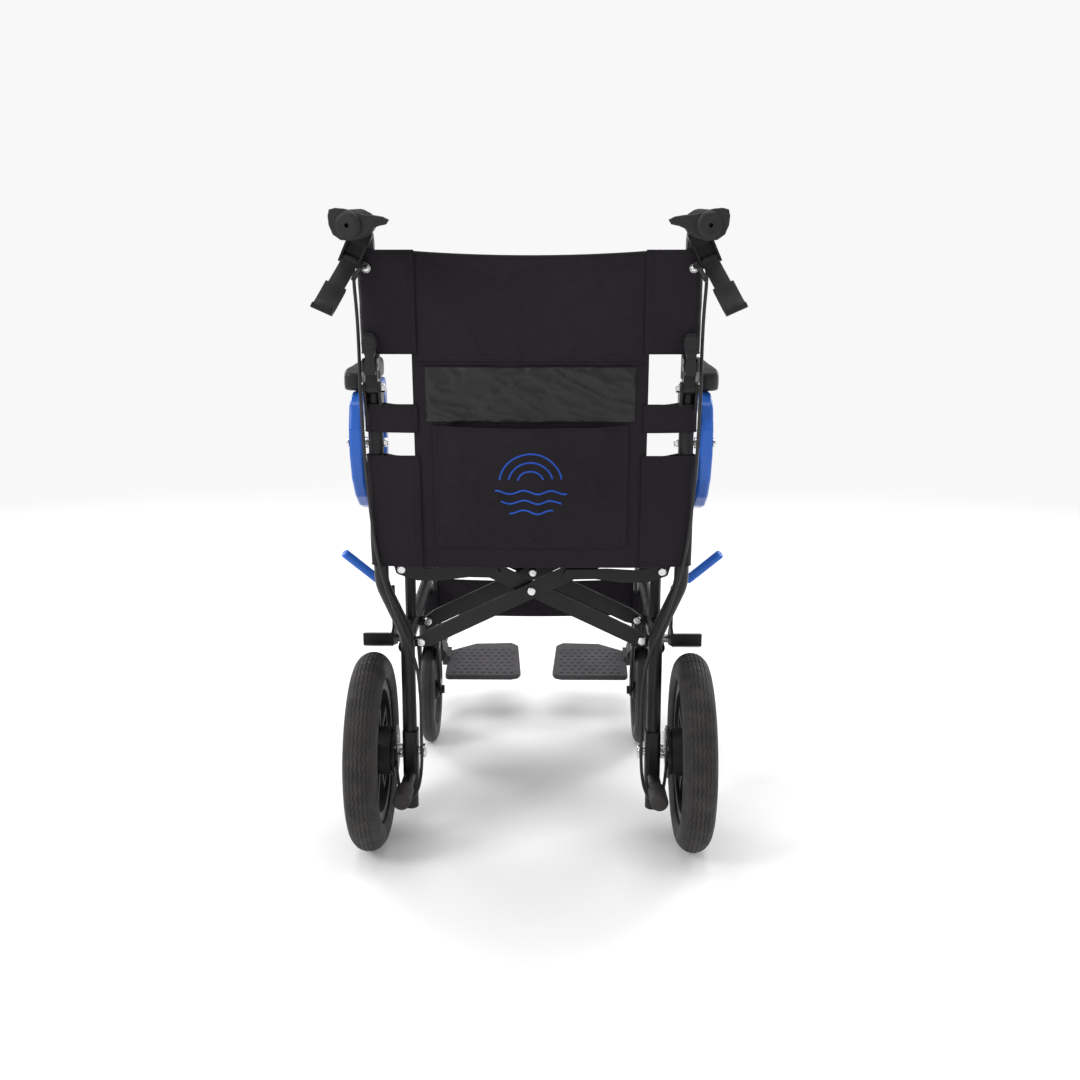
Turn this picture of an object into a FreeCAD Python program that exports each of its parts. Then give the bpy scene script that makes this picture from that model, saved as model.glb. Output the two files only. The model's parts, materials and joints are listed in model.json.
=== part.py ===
import FreeCAD, Part
import math
import os

# Folding transport wheelchair, in millimetres.
# The chair faces -Y, +Z is up and the user's left is +X. The floor is Z = 0.
# The numbers below measure Y from the rear axle, positive to the rear. AXLE_Y then moves the
# whole chair so that Y = 0 is the middle of its length.
# Left-hand pieces are drawn at +X, and each right-hand piece is its mirror image.

# ---- driving dimensions ----
AXLE_Y = 265.0            # from the middle of the chair's length to the rear axle
TUBE_R = 11.0             # frame tube, outside
TUBE_WALL = 1.6
RUNNING = 0.05            # radial clearance of a pin in its hole

WHEEL_R = 155.0           # rear tyre, outside
WHEEL_X = 251.0           # middle of the rear tyre
TYRE_R = 26.0             # the tyre's section
AXLE_R = 6.0
RIM_R = 112.0             # bead seat of the rim
SPOKE_R = 96.0            # inside of the rim, where the spokes end

CASTER_R = 100.0
CASTER_X = 200.0
CASTER_AXLE_Y = -430.0
STEM_Y = -390.0           # the caster's swivel axis
CASTER_HALF = 14.0        # half the caster wheel's width

LEG_X = 191.0             # rear leg below the bend
LEG_BOTTOM = 62.0
CANE_X = 227.0            # back cane above the bend
LOWER_RAIL_Z = 326.0
UPPER_RAIL_X = 214.0
UPPER_RAIL_Z = 475.0

ARM_PIVOT_X = 172.0       # cross arms: lower pivot
ARM_PIVOT_Z = 329.0
CROSS_Z = 412.0           # the centre bolt
SEAT_X = 200.0            # seat rail
ARM_HALF = 12.0           # half the arm's depth
ARM_THICK = 8.0
ARM_A_YS = (-20.0, -132.0)
ARM_B_YS = (-30.0, -142.0)
LINK_OUT = (200.0, 445.0)  # bolt of the link strut on the side frame
LINK_REACH = 63.3         # from the centre bolt to the link's bolt, along the arm
PIN_R = 4.0

HINGE_Y = 44.0            # half-fold hinge of the back
HINGE_Z = 731.0
HINGE_CANE_Y = 30.0       # middle of the cane at the hinge
CANE_TOP_Z = 965.0
PADDLE_Z = HINGE_Z + 34   # the release paddle's pin

ARMREST_X = 257.0
ARMREST_PIVOT = (18.0, 648.0)   # Y, Z
ARMREST_CORNER = 13.0     # rounding of the loop's outer corners
ARMREST_HOLLOW_CORNER = 9.0
ARMREST_EDGE = 4.5        # rounding of the loop's rims
PLATE_THICK = 11.0        # footplate
PLATE_CORNER = 9.0
PLATE_EDGE = 2.5
WING_EDGE = 2.2           # rounding of the brake bracket's wing
LEVER_PIVOT = (0.0, 26.0)       # rearward and outward from the start of the brake lever
LEVER_PIN_R = 2.5
LEVER_WIDTH = 23.0
CUP_WIDTH = 30.0
LATCH_WIDTH = 6.0
LATCH_SHIFT = -19.0             # from the middle of the brake lever
PAD_X = (246.5, 279.0)
PAD_Y = (-250.0, -4.0)
PAD_Z = (719.0, 754.0)

LOCK_PIVOT = (-122.0, 302.0)    # Y, Z of the wheel lock's lever
STUB_R = 9.5              # tipping stub
STUB_END = 88.0           # Y
HANGER_Y = -425.0         # vertical axis that the footrest hanger swings on
PLATE_Y = (-690.0, -536.0)
PLATE_TILT = 7.4          # degrees, toe up

BACK_HALF = 206.0         # half the width of the back cloth between the canes
CLOTH_THICK = 8.0
BACK_LOW = 460.0          # lower and upper edge of the back cloth
BACK_TOP = 914.0

HANDLE_START = (CANE_X, HINGE_CANE_Y + (CANE_TOP_Z - HINGE_Z) * 0.135, CANE_TOP_Z - 5)
HANDLE_END = (CANE_X + 9, 148, CANE_TOP_Z - 9)
UPPER_CANE = [(CANE_X, HINGE_CANE_Y + 1.5, HINGE_Z + 13), HANDLE_START, HANDLE_END]
HANDLE_BEND = 32

CABLE_R = 2.5
CABLE_BEND = 45
CABLE_X = CANE_X + 16
UPPER_CABLE = [
    (CANE_X + 17, 66, CANE_TOP_Z - 34),
    (CANE_X + 20, 61, 890),
    (CABLE_X + 1, 56, 840),
    (CABLE_X, 54, 785),
    (CABLE_X, HINGE_Y + 12, HINGE_Z + 1),
]
LOWER_CABLE = [
    (CABLE_X, HINGE_Y + 12, HINGE_Z - 1),
    (CABLE_X, 47, 680),
    (CABLE_X - 1, 38, 620),
    (CABLE_X - 5, 30, 550),
    (CANE_X + 6, 24, 490),
    (CANE_X - 6, 21, 430),
    (CANE_X - 28, 24, 370),
    (LEG_X - 16, 24, 310),
    (LEG_X - 21, 22, 250),
    (LEG_X - 20, 20, 190),
    (LEG_X - 20, 21, 130),
    (LEG_X - 12, 26, 92),
    (LEG_X + 6, 34, 84),
    (LEG_X + 16.5, 36, 112),
    (LEG_X + 18.1, 34, 148),
]

ARM_RISE = CROSS_Z - ARM_PIVOT_Z
ARM_ANGLE = math.atan2(ARM_RISE, ARM_PIVOT_X)
SEAT_Z = CROSS_Z + SEAT_X * math.tan(ARM_ANGLE)


# ---- small helpers ----
def vec(x, y, z):
    return FreeCAD.Vector(x, y, z)


def rod(start, end, radius):
    """A round bar between two points."""
    a = vec(*start)
    along = vec(*end) - a
    return Part.makeCylinder(radius, along.Length, a, along)


def block(low, high):
    """A box between its lowest and its highest corner."""
    return Part.makeBox(high[0] - low[0], high[1] - low[1], high[2] - low[2], vec(*low))


def fuse(shapes):
    first = shapes[0]
    if len(shapes) == 1:
        return first
    return first.multiFuse(shapes[1:]).removeSplitter()


def group(solids):
    """Separate solids kept in one sub-part."""
    return Part.makeCompound(solids)


def path(points, radius):
    """A wire of straight runs joined by tangent arcs of up to this radius."""
    corners = [vec(*p) for p in points]
    edges = []
    start = corners[0]
    for before, corner, after in zip(corners, corners[1:], corners[2:]):
        back = before - corner
        ahead = after - corner
        room = 0.48 * min(back.Length, ahead.Length)
        back.normalize()
        ahead.normalize()
        half_turn = (math.pi - back.getAngle(ahead)) / 2
        setback = min(radius * math.tan(half_turn), room)
        bend = setback / math.tan(half_turn)
        inward = back + ahead
        inward.normalize()
        middle = corner + inward * (bend / math.cos(half_turn) - bend)
        edges.append(Part.LineSegment(start, corner + back * setback).toShape())
        arc = Part.Arc(corner + back * setback, middle, corner + ahead * setback)
        edges.append(arc.toShape())
        start = corner + ahead * setback
    edges.append(Part.LineSegment(start, corners[-1]).toShape())
    return Part.Wire(edges)


def bar(points, radius, bend):
    """A bent round bar."""
    spine = path(points, bend)
    first = vec(*points[0])
    ring = Part.makeCircle(radius, first, vec(*points[1]) - first)
    return spine.makePipeShell([Part.Wire([ring])], True, True)


def tubes(runs, radius=TUBE_R, wall=TUBE_WALL):
    """Bent tubes welded together: every (points, bend) pair in runs, hollow inside."""
    outer = fuse([bar(points, radius, bend) for points, bend in runs])
    inner = fuse([bar(points, radius - wall, bend) for points, bend in runs])
    return outer.cut(inner)


def side_plate(outline, x_low, x_high):
    """A flat plate in a YZ plane, from its (y, z) outline."""
    face = Part.Face(Part.makePolygon([vec(x_low, y, z) for y, z in outline + outline[:1]]))
    return face.extrude(vec(x_high - x_low, 0, 0))


def front_plate(outline, y_low, y_high):
    """A flat plate in an XZ plane, from its (x, z) outline."""
    face = Part.Face(Part.makePolygon([vec(x, y_low, z) for x, z in outline + outline[:1]]))
    return face.extrude(vec(0, y_high - y_low, 0))


def rounded(shape, radius, chosen):
    """The shape with the edges that chosen() picks rounded."""
    edges = [e for e in shape.Edges if chosen(e)]
    return shape.makeFillet(radius, edges)


def lies_along(axis):
    """Picks straight edges along one axis: 0 is X, 1 is Y and 2 is Z."""
    def chosen(edge):
        way = edge.Vertexes[-1].Point - edge.Vertexes[0].Point
        return way.Length > 1 and abs(abs(way[axis]) / way.Length - 1) < 1e-6
    return chosen


def bolt(start, end, radius=PIN_R, head=6.5, head_long=4.0, nut=6.5, nut_long=5.0):
    """A bolt whose head sits before start and whose hexagon nut sits after end."""
    a = vec(*start)
    b = vec(*end)
    way = b - a
    way.normalize()
    shank = Part.makeCylinder(radius, (b - a).Length + nut_long + 1, a, way)
    cap = Part.makeCylinder(head, head_long, a - way * head_long, way)
    cap = cap.makeFillet(head_long * 0.45, [cap.Edges[2]])
    rest = FreeCAD.Rotation(vec(0, 0, 1), way)
    corners = [vec(nut * math.cos(i * math.pi / 3), nut * math.sin(i * math.pi / 3), 0)
               for i in range(7)]
    ring = Part.makePolygon([b + rest.multVec(c) for c in corners])
    hexagon = Part.Face(ring).extrude(way * nut_long)
    return fuse([shank, cap, hexagon])


def y_hole(x, y_low, y_high, z, radius=PIN_R + RUNNING):
    return rod((x, y_low, z), (x, y_high, z), radius)


def x_hole(x_low, x_high, y, z, radius=PIN_R + RUNNING):
    return rod((x_low, y, z), (x_high, y, z), radius)


def mirrored(shape):
    return shape.mirror(vec(0, 0, 0), vec(1, 0, 0))


# ---- side frame ----
def on_stub(y):
    """The point of the tipping stub's middle line that far behind the axle."""
    return (LEG_X + y * 0.023, y, 118)


def side_frame(arm_ys, arm_front, link_y):
    """Rear leg, lower cane, rails, front post and every bracket welded to them."""
    leg_and_cane = [
        (LEG_X, 0, LEG_BOTTOM),
        (LEG_X, 0, 345),
        (CANE_X + 1, 0, 428),
        (CANE_X, HINGE_CANE_Y, HINGE_Z - 5),
    ]
    lower_rail = [(LEG_X + 4, 0, LOWER_RAIL_Z), (CASTER_X, STEM_Y, LOWER_RAIL_Z)]
    upper_rail_and_post = [
        (CANE_X + 1, 3, UPPER_RAIL_Z),
        (UPPER_RAIL_X, -50, UPPER_RAIL_Z),
        (UPPER_RAIL_X - 2, -340, UPPER_RAIL_Z),
        (CASTER_X, STEM_Y, 440),
        (CASTER_X, STEM_Y, 296),
    ]
    frame = tubes([(leg_and_cane, 60), (lower_rail, 10), (upper_rail_and_post, 40)])
    stem_housing = rod((CASTER_X, STEM_Y, 222), (CASTER_X, STEM_Y, 306), 17)
    axle_sleeve = block((LEG_X - 13, -14, 92), (LEG_X + 11, 14, 190))
    axle_sleeve = rounded(axle_sleeve, 6, lies_along(2))
    tip_stub = rod(on_stub(0), on_stub(STUB_END), STUB_R)
    mid_post = rod((CASTER_X, -128, LOWER_RAIL_Z), (CASTER_X, -128, 405), 9)
    added = [stem_housing, axle_sleeve, tip_stub, mid_post]
    for y in arm_ys:
        front = y + arm_front
        outline = [
            (ARM_PIVOT_X - 9, ARM_PIVOT_Z - 8),
            (ARM_PIVOT_X + 24, ARM_PIVOT_Z - 12),
            (ARM_PIVOT_X + 24, ARM_PIVOT_Z + 4),
            (ARM_PIVOT_X - 9, ARM_PIVOT_Z + 8),
        ]
        added.append(front_plate(outline, front - 3, front))
    link_lug = [
        (LINK_OUT[0] - 9, LINK_OUT[1] - 8),
        (LINK_OUT[0] + 9, LINK_OUT[1] - 8),
        (UPPER_RAIL_X + 4, UPPER_RAIL_Z - 6),
        (UPPER_RAIL_X - 9, UPPER_RAIL_Z - 2),
    ]
    added.append(front_plate(link_lug, link_y - 6, link_y - 3))
    for y in (-80, -330):
        saddle = block((SEAT_X - 9, y - 12, UPPER_RAIL_Z + 4), (UPPER_RAIL_X + 9, y + 12, SEAT_Z - 2))
        added.append(saddle)
    for low in (318.0, 390.0):
        added.append(block((CASTER_X - 4, HANGER_Y, low), (CASTER_X + 4, STEM_Y - 8, low + 12)))
        added.append(rod((CASTER_X, HANGER_Y, low), (CASTER_X, HANGER_Y, low + 12), 15))
    lock_plate = block((LEG_X + 8, -134, LOWER_RAIL_Z - 38), (LEG_X + 22, -110, LOWER_RAIL_Z + 10))
    added.append(lock_plate)
    for side in (-1, 1):
        x = CANE_X + side * 11
        cheek = [(20, 690), (36, 690), (53, 724), (53, 738), (44, 740), (36, 730), (20, 722)]
        added.append(side_plate(cheek, x - 2, x + 2))
    armrest_latch = block((UPPER_RAIL_X, -246, UPPER_RAIL_Z - 4), (ARMREST_X + 8, -228, UPPER_RAIL_Z + 6))
    added.append(armrest_latch)
    added.append(block((ARMREST_X - 8, -246, UPPER_RAIL_Z + 4), (ARMREST_X + 8, -228, 527)))
    frame = fuse([frame] + added)
    holes = [
        rod((CASTER_X, STEM_Y, 215), (CASTER_X, STEM_Y, 300), AXLE_R + RUNNING),
        x_hole(LEG_X - 40, LEG_X + 40, 0, WHEEL_R, AXLE_R + RUNNING),
        x_hole(CANE_X - 20, CANE_X + 20, HINGE_Y, HINGE_Z),
        x_hole(CANE_X - 20, CANE_X + 20, ARMREST_PIVOT[0], ARMREST_PIVOT[1]),
        y_hole(LINK_OUT[0], link_y - 9, link_y, LINK_OUT[1]),
        x_hole(LEG_X - 4, LEG_X + 30, LOCK_PIVOT[0], LOCK_PIVOT[1]),
        rod((CASTER_X, HANGER_Y, 300), (CASTER_X, HANGER_Y, 420), 8 + RUNNING),
        rod((SEAT_X, -100, SEAT_Z), (SEAT_X, -60, SEAT_Z), TUBE_R + 0.5),
        rod((SEAT_X, -350, SEAT_Z), (SEAT_X, -310, SEAT_Z), TUBE_R + 0.5),
    ]
    for y in arm_ys:
        holes.append(y_hole(ARM_PIVOT_X, y + arm_front - 5, y + arm_front + 2, ARM_PIVOT_Z))
    frame = frame.cut(fuse(holes))
    gap = block((CANE_X - 9, 22, 722), (CANE_X + 9, 60, 745))
    return frame.cut(gap)


def frame_bolts(arm_ys, arm_front, link_y):
    """The side frame's own bolts and the rear axle."""
    axle = bolt((172, 0, WHEEL_R), (278.5, 0, WHEEL_R), AXLE_R, 11, 6, 11, 8)
    spacer = rod((203, 0, WHEEL_R), (211, 0, WHEEL_R), 11)
    axle = fuse([axle, spacer])
    hinge = bolt((CANE_X + 13.2, HINGE_Y, HINGE_Z), (CANE_X - 13.2, HINGE_Y, HINGE_Z), PIN_R, 8, 4)
    y, z = ARMREST_PIVOT
    arm = bolt((ARMREST_X + 10.2, y, z), (CANE_X - 11.2, y, z))
    arm = fuse([arm, rod((CANE_X + 12.5, y, z), (ARMREST_X - 10.2, y, z), 8)])
    link = bolt((LINK_OUT[0], link_y + 2.2, LINK_OUT[1]), (LINK_OUT[0], link_y - 6.2, LINK_OUT[1]))
    lock = bolt((226.2, *LOCK_PIVOT), (198.8, *LOCK_PIVOT))
    lock = fuse([lock, rod((213.2, *LOCK_PIVOT), (221.8, *LOCK_PIVOT), 7)])
    pieces = [axle, hinge, arm, link, lock]
    for place in arm_ys:
        head_y = place + ARM_THICK / 2 + 0.2
        tail_y = place + arm_front - 3.2
        pieces.append(bolt((ARM_PIVOT_X, head_y, ARM_PIVOT_Z), (ARM_PIVOT_X, tail_y, ARM_PIVOT_Z)))
    return group(pieces)


# ---- wheels ----
def tyre():
    """The rear tyre's hollow rubber section turned about the axle."""
    middle = WHEEL_R - TYRE_R
    outside = Part.makeTorus(middle, TYRE_R, vec(WHEEL_X, 0, WHEEL_R), vec(1, 0, 0))
    inside = Part.makeTorus(middle, TYRE_R - 5, vec(WHEEL_X, 0, WHEEL_R), vec(1, 0, 0))
    bead = rod((WHEEL_X - 30, 0, WHEEL_R), (WHEEL_X + 30, 0, WHEEL_R), RIM_R + 0.2)
    return outside.cut(inside).cut(bead)


def rim():
    """The moulded rim's outer ring, which the tyre sits on."""
    centre = (0, WHEEL_R)
    ring = rod((WHEEL_X - 17, *centre), (WHEEL_X + 17, *centre), RIM_R)
    return ring.cut(rod((WHEEL_X - 18, *centre), (WHEEL_X + 18, *centre), SPOKE_R))


def wheel_spokes():
    """Five broad spokes, the hub and the brake drum on its inner face."""
    centre = (0, WHEEL_R)
    hub = rod((WHEEL_X - 24, *centre), (WHEEL_X + 26, *centre), 22)
    drum = rod((WHEEL_X - 32, *centre), (WHEEL_X - 14, *centre), 38)
    drum = drum.cut(rod((WHEEL_X - 33, *centre), (WHEEL_X - 18, *centre), 34))
    spokes = []
    for i in range(5):
        outline = [(-13, 10), (13, 10), (20, RIM_R), (-20, RIM_R)]
        spoke = side_plate(outline, WHEEL_X - 12, WHEEL_X + 8)
        window = side_plate([(-7, 32), (7, 32), (11, 82), (-11, 82)], WHEEL_X - 20, WHEEL_X + 2)
        spoke = spoke.cut(window)
        spoke.rotate(vec(0, 0, 0), vec(1, 0, 0), i * 72)
        spoke.translate(vec(0, 0, WHEEL_R))
        spokes.append(spoke)
    web = rod((WHEEL_X - 18, *centre), (WHEEL_X - 14, *centre), 38)
    inside_rim = rod((WHEEL_X - 40, *centre), (WHEEL_X + 40, *centre), SPOKE_R)
    wheel = fuse([hub, drum, web] + spokes).common(inside_rim)
    return wheel.cut(x_hole(WHEEL_X - 40, WHEEL_X + 40, 0, WHEEL_R, AXLE_R + RUNNING))


def hub_brake():
    """The fixed brake plate inside the wheel, with its cable anchor."""
    centre = (0, WHEEL_R)
    plate = rod((212, *centre), (216, *centre), 41)
    shoes = rod((216, *centre), (230, *centre), 32).cut(rod((215, *centre), (231, *centre), 25))
    anchor = block((209, 22, WHEEL_R + 24), (212, 34, WHEEL_R + 46))
    brake = fuse([plate, shoes, anchor])
    bore = x_hole(200, 240, 0, WHEEL_R, AXLE_R + 0.3)
    pivot = x_hole(200, 240, 24, WHEEL_R - 12, 3 + RUNNING)
    return brake.cut(fuse([bore, pivot]))


def brake_arm():
    """The arm that the cable pulls, on its own stub pin."""
    outline = [(19, WHEEL_R - 18), (29, WHEEL_R - 18), (33, WHEEL_R + 12), (27, WHEEL_R + 14)]
    arm = side_plate(outline, 208, 211.5)
    return fuse([arm, rod((208, 24, WHEEL_R - 12), (219, 24, WHEEL_R - 12), 3)])


def caster_fork():
    """Stem, crown and two blades that carry the caster's axle."""
    stem = rod((CASTER_X, STEM_Y, 208), (CASTER_X, STEM_Y, 296), AXLE_R)
    crown = block((CASTER_X - 22, STEM_Y - 26, 206), (CASTER_X + 22, STEM_Y + 20, 213))
    crown = rounded(crown, 8, lies_along(2))
    collar = rod((CASTER_X, STEM_Y, 206), (CASTER_X, STEM_Y, 221), 14)
    pieces = [stem, crown, collar]
    outline = [
        (STEM_Y + 16, 213),
        (STEM_Y + 16, 200),
        (CASTER_AXLE_Y + 11, CASTER_R - 8),
        (CASTER_AXLE_Y, CASTER_R - 12),
        (CASTER_AXLE_Y - 11, CASTER_R - 6),
        (CASTER_AXLE_Y - 11, CASTER_R + 12),
        (STEM_Y - 24, 200),
        (STEM_Y - 24, 213),
    ]
    for low in (-CASTER_HALF - 6, CASTER_HALF + 2):
        pieces.append(side_plate(outline, CASTER_X + low, CASTER_X + low + 4))
    axle = rod((CASTER_X - 24, CASTER_AXLE_Y, CASTER_R), (CASTER_X + 24, CASTER_AXLE_Y, CASTER_R), 4)
    heads = [
        rod((CASTER_X + s * 20, CASTER_AXLE_Y, CASTER_R), (CASTER_X + s * 25, CASTER_AXLE_Y, CASTER_R), 8)
        for s in (-1, 1)
    ]
    return fuse(pieces + [axle] + heads)


def caster_wheel():
    """A solid tyre on a dished rim, turned about the caster's axle."""
    half = CASTER_HALF
    section = [
        (4 + RUNNING, -half),
        (16, -half),
        (20, -5),
        (66, -5),
        (70, -half + 2),
        (90, -half + 1),
        (97, -half + 5),
        (CASTER_R, -4),
        (CASTER_R, 4),
        (97, half - 5),
        (90, half - 1),
        (70, half - 2),
        (66, 5),
        (20, 5),
        (16, half),
        (4 + RUNNING, half),
    ]
    corners = [vec(CASTER_X + x, CASTER_AXLE_Y, CASTER_R + r) for r, x in section]
    face = Part.Face(Part.makePolygon(corners + corners[:1]))
    return face.revolve(vec(CASTER_X, CASTER_AXLE_Y, CASTER_R), vec(1, 0, 0), 360)


# ---- cross brace, links and seat ----
def arm_point(along, side):
    """The point that far from the centre bolt, towards the top at X of this sign."""
    return (side * along * math.cos(ARM_ANGLE), CROSS_Z + along * math.sin(ARM_ANGLE))


def cross_arm(ys, side):
    """Two flat arms and the seat rail on their upper ends. side is the sign of the rail's X."""
    lower = -ARM_PIVOT_X / math.cos(ARM_ANGLE)
    upper = SEAT_X / math.cos(ARM_ANGLE)
    lean = (-side * math.sin(ARM_ANGLE), math.cos(ARM_ANGLE))
    outline = []
    for along, offset in (
        (lower - 7, -7), (lower + 16, -ARM_HALF), (upper, -ARM_HALF),
        (upper, ARM_HALF), (lower + 16, ARM_HALF), (lower - 7, 7),
    ):
        x, z = arm_point(along, side)
        outline.append((x + offset * lean[0], z + offset * lean[1]))
    arms = [front_plate(outline, y - ARM_THICK / 2, y + ARM_THICK / 2) for y in ys]
    rail = tubes([([(side * SEAT_X, -8, SEAT_Z), (side * SEAT_X, -392, SEAT_Z)], 10)])
    rail_inside = rod((side * SEAT_X, -8, SEAT_Z), (side * SEAT_X, -392, SEAT_Z), TUBE_R - TUBE_WALL)
    body = fuse(arms + [rail]).cut(rail_inside)
    holes = []
    for y in ys:
        low_y = y - ARM_THICK
        high_y = y + ARM_THICK
        holes.append(y_hole(-side * ARM_PIVOT_X, low_y, high_y, ARM_PIVOT_Z))
        holes.append(y_hole(0, low_y, high_y, CROSS_Z))
    x, z = arm_point(LINK_REACH, side)
    holes.append(y_hole(x, ys[0] - ARM_THICK, ys[0] + ARM_THICK, z))
    return body.cut(fuse(holes))


def centre_bolts():
    pieces = []
    for a, b in zip(ARM_A_YS, ARM_B_YS):
        start = (0, a + ARM_THICK / 2 + 0.2, CROSS_Z)
        end = (0, b - ARM_THICK / 2 - 0.2, CROSS_Z)
        pieces.append(bolt(start, end))
    return group(pieces)


def link(y):
    """A bent flat strut from the side frame to the cross arm's bolt."""
    inner_x, inner_z = arm_point(LINK_REACH, 1)
    outer_x, outer_z = LINK_OUT
    outline = [
        (outer_x + 9, outer_z), (outer_x + 6, outer_z + 7), (outer_x - 4, outer_z + 8),
        (outer_x - 40, outer_z + 1), (inner_x + 60, inner_z + 9), (inner_x - 4, inner_z + 8),
        (inner_x - 9, inner_z), (inner_x - 4, inner_z - 8), (inner_x + 40, inner_z - 7),
        (outer_x - 60, outer_z - 18), (outer_x - 24, outer_z - 18), (outer_x + 6, outer_z - 8),
    ]
    plate = front_plate(outline, y - 2, y + 2)
    return plate.cut(y_hole(outer_x, y - 5, y + 5, outer_z))


def seat_sling():
    """Half of the seat cloth, from the middle seam to the seat rail."""
    low = SEAT_Z + TUBE_R + 0.5
    return block((1, -386, low), (SEAT_X + 4, -14, low + 4))


# ---- back ----
def on_handle(y):
    """The point of the handle tube's middle line that far behind the axle."""
    share = (y - HANDLE_START[1]) / (HANDLE_END[1] - HANDLE_START[1])
    return tuple(a + share * (b - a) for a, b in zip(HANDLE_START, HANDLE_END))


def upper_cane():
    """The folding part of the back cane, its bend and the lug in the hinge."""
    shape = tubes([(UPPER_CANE, HANDLE_BEND)])
    lug = block((CANE_X - 8.5, 22, HINGE_Z + 3), (CANE_X + 8.5, 52, HINGE_Z + 44))
    barrel = x_hole(CANE_X - 8.5, CANE_X + 8.5, HINGE_Y, HINGE_Z, 8)
    neck = block((CANE_X - 8.5, 40, HINGE_Z), (CANE_X + 8.5, 52, HINGE_Z + 10))
    ears = [
        block((CANE_X + low, 42, PADDLE_Z - 9), (CANE_X + low + 2, 66, PADDLE_Z + 9))
        for low in (-10.5, 8.5)
    ]
    shape = fuse([shape, lug, barrel, neck] + ears)
    pivot = x_hole(CANE_X - 20, CANE_X + 20, 60, PADDLE_Z, 2.5 + RUNNING)
    return shape.cut(fuse([x_hole(CANE_X - 20, CANE_X + 20, HINGE_Y, HINGE_Z), pivot]))


def release_paddle():
    """The plastic paddle that frees the back hinge, on its own pin."""
    outline = [(-8, 20), (8, 20), (8, 34), (6, 46), (9, 54), (11, 64), (10, 72), (5, 79),
               (-5, 79), (-10, 72), (-11, 64), (-9, 54), (-6, 46), (-8, 34)]
    points = [(CANE_X + x, HINGE_Z + z) for x, z in outline]
    plate = front_plate(points, 58, 66)
    head = rod((CANE_X, 62, HINGE_Z + 66), (CANE_X, 69, HINGE_Z + 66), 9.5)
    pin = rod((CANE_X - 11, 60, PADDLE_Z), (CANE_X + 11, 60, PADDLE_Z), 2.5)
    return fuse([plate, head, pin])


def grip():
    """The rubber hand grip with the wing-like flange near its end."""
    body = rod(on_handle(86), on_handle(162), 19)
    body = body.makeFillet(7, [body.Edges[0], body.Edges[2]])
    x, _, z = on_handle(155)
    wing_outline = [(-54, 7), (-46, 11), (-34, 13), (-20, 14), (-8, 18), (4, 21), (16, 22), (24, 20),
                    (26, 12), (25, 0), (20, -12), (10, -19), (-4, -20), (-18, -16), (-28, -6),
                    (-40, -1), (-50, 1)]
    wing = front_plate([(x + dx, z + dz) for dx, dz in wing_outline], 148, 158)
    wing = wing.makeFillet(WING_EDGE, [e for e in wing.Edges if not lies_along(1)(e)])
    vent = rod(on_handle(152), on_handle(170), 3)
    inside = bar(UPPER_CANE, TUBE_R + 0.02, HANDLE_BEND)
    return fuse([body, wing]).cut(vent).cut(inside)


def lever_frame():
    """The start of the brake lever on the clamp, and its way out and down from the grip."""
    return vec(CANE_X + 9, 78, CANE_TOP_Z - 30), vec(0.41, 0, -0.912)


def lever_block(way_out, size, low):
    """A box in the lever's own axes: across the lever, rearward, and out from the grip."""
    box = Part.makeBox(*size, vec(*low))
    across = vec(0, 1, 0).cross(way_out)
    turn = FreeCAD.Rotation(across, vec(0, 1, 0), way_out, "ZXY")
    start, _ = lever_frame()
    box.Placement = FreeCAD.Placement(start, turn).multiply(box.Placement)
    return box


def brake_bracket():
    """The clamp round the cane, with two ears and the pin that the brake lever turns on."""
    start, out = lever_frame()
    across = out.cross(vec(0, 1, 0))
    ring = rod(on_handle(64), on_handle(80), 16)
    bridge = lever_block(out, (30, 14, 20), (-15, -13, -16))
    ears = [lever_block(out, (3, 20, 34), (low, -13, 0)) for low in (-15, 12)]
    ears.append(lever_block(out, (28, 2.5, 32), (-14, -8.8, 0)))
    pivot = start + vec(0, LEVER_PIVOT[0], 0) + out * LEVER_PIVOT[1] - across * 24
    pin = Part.makeCylinder(LEVER_PIN_R, 39, pivot, across)
    clamp = fuse([ring, bridge] + ears + [pin])
    return clamp.cut(bar(UPPER_CANE, TUBE_R + 0.02, HANDLE_BEND))


def ribbon(line, width, thick, shift=0.0):
    """A bent flat bar through (rearward, outward) points in the lever's own plane."""
    start, out = lever_frame()
    across = out.cross(vec(0, 1, 0))
    upper = []
    lower = []
    for i, (y, o) in enumerate(line):
        y_before, o_before = line[max(i - 1, 0)]
        y_after, o_after = line[min(i + 1, len(line) - 1)]
        run = math.hypot(y_after - y_before, o_after - o_before)
        side_y = -(o_after - o_before) / run * thick / 2
        side_o = (y_after - y_before) / run * thick / 2
        upper.append((y + side_y, o + side_o))
        lower.append((y - side_y, o - side_o))
    low_edge = across * (shift - width / 2)
    corners = [start + vec(0, y, 0) + out * o + low_edge for y, o in upper + lower[::-1]]
    face = Part.Face(Part.makePolygon(corners + corners[:1]))
    return face.extrude(across * width)


def on_lever_pin(width, radius, shift=0.0):
    """A round bar on the lever's pivot."""
    start, out = lever_frame()
    across = out.cross(vec(0, 1, 0))
    middle = start + vec(0, LEVER_PIVOT[0], 0) + out * LEVER_PIVOT[1]
    return Part.makeCylinder(radius, width, middle + across * (shift - width / 2), across)


def brake_lever():
    """The hand brake lever, from its pivot to the broad finger cup."""
    arm = ribbon([LEVER_PIVOT, (12, 42), (38, 66), (52, 83)], LEVER_WIDTH, 6)
    cup = ribbon([(36, 64.2), (46, 76), (58, 89), (70, 97), (80, 95)], CUP_WIDTH, 7)
    shape = fuse([arm, cup, on_lever_pin(LEVER_WIDTH, LEVER_PIN_R + 2.5)])
    return shape.cut(on_lever_pin(LEVER_WIDTH + 10, LEVER_PIN_R + RUNNING))


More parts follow.
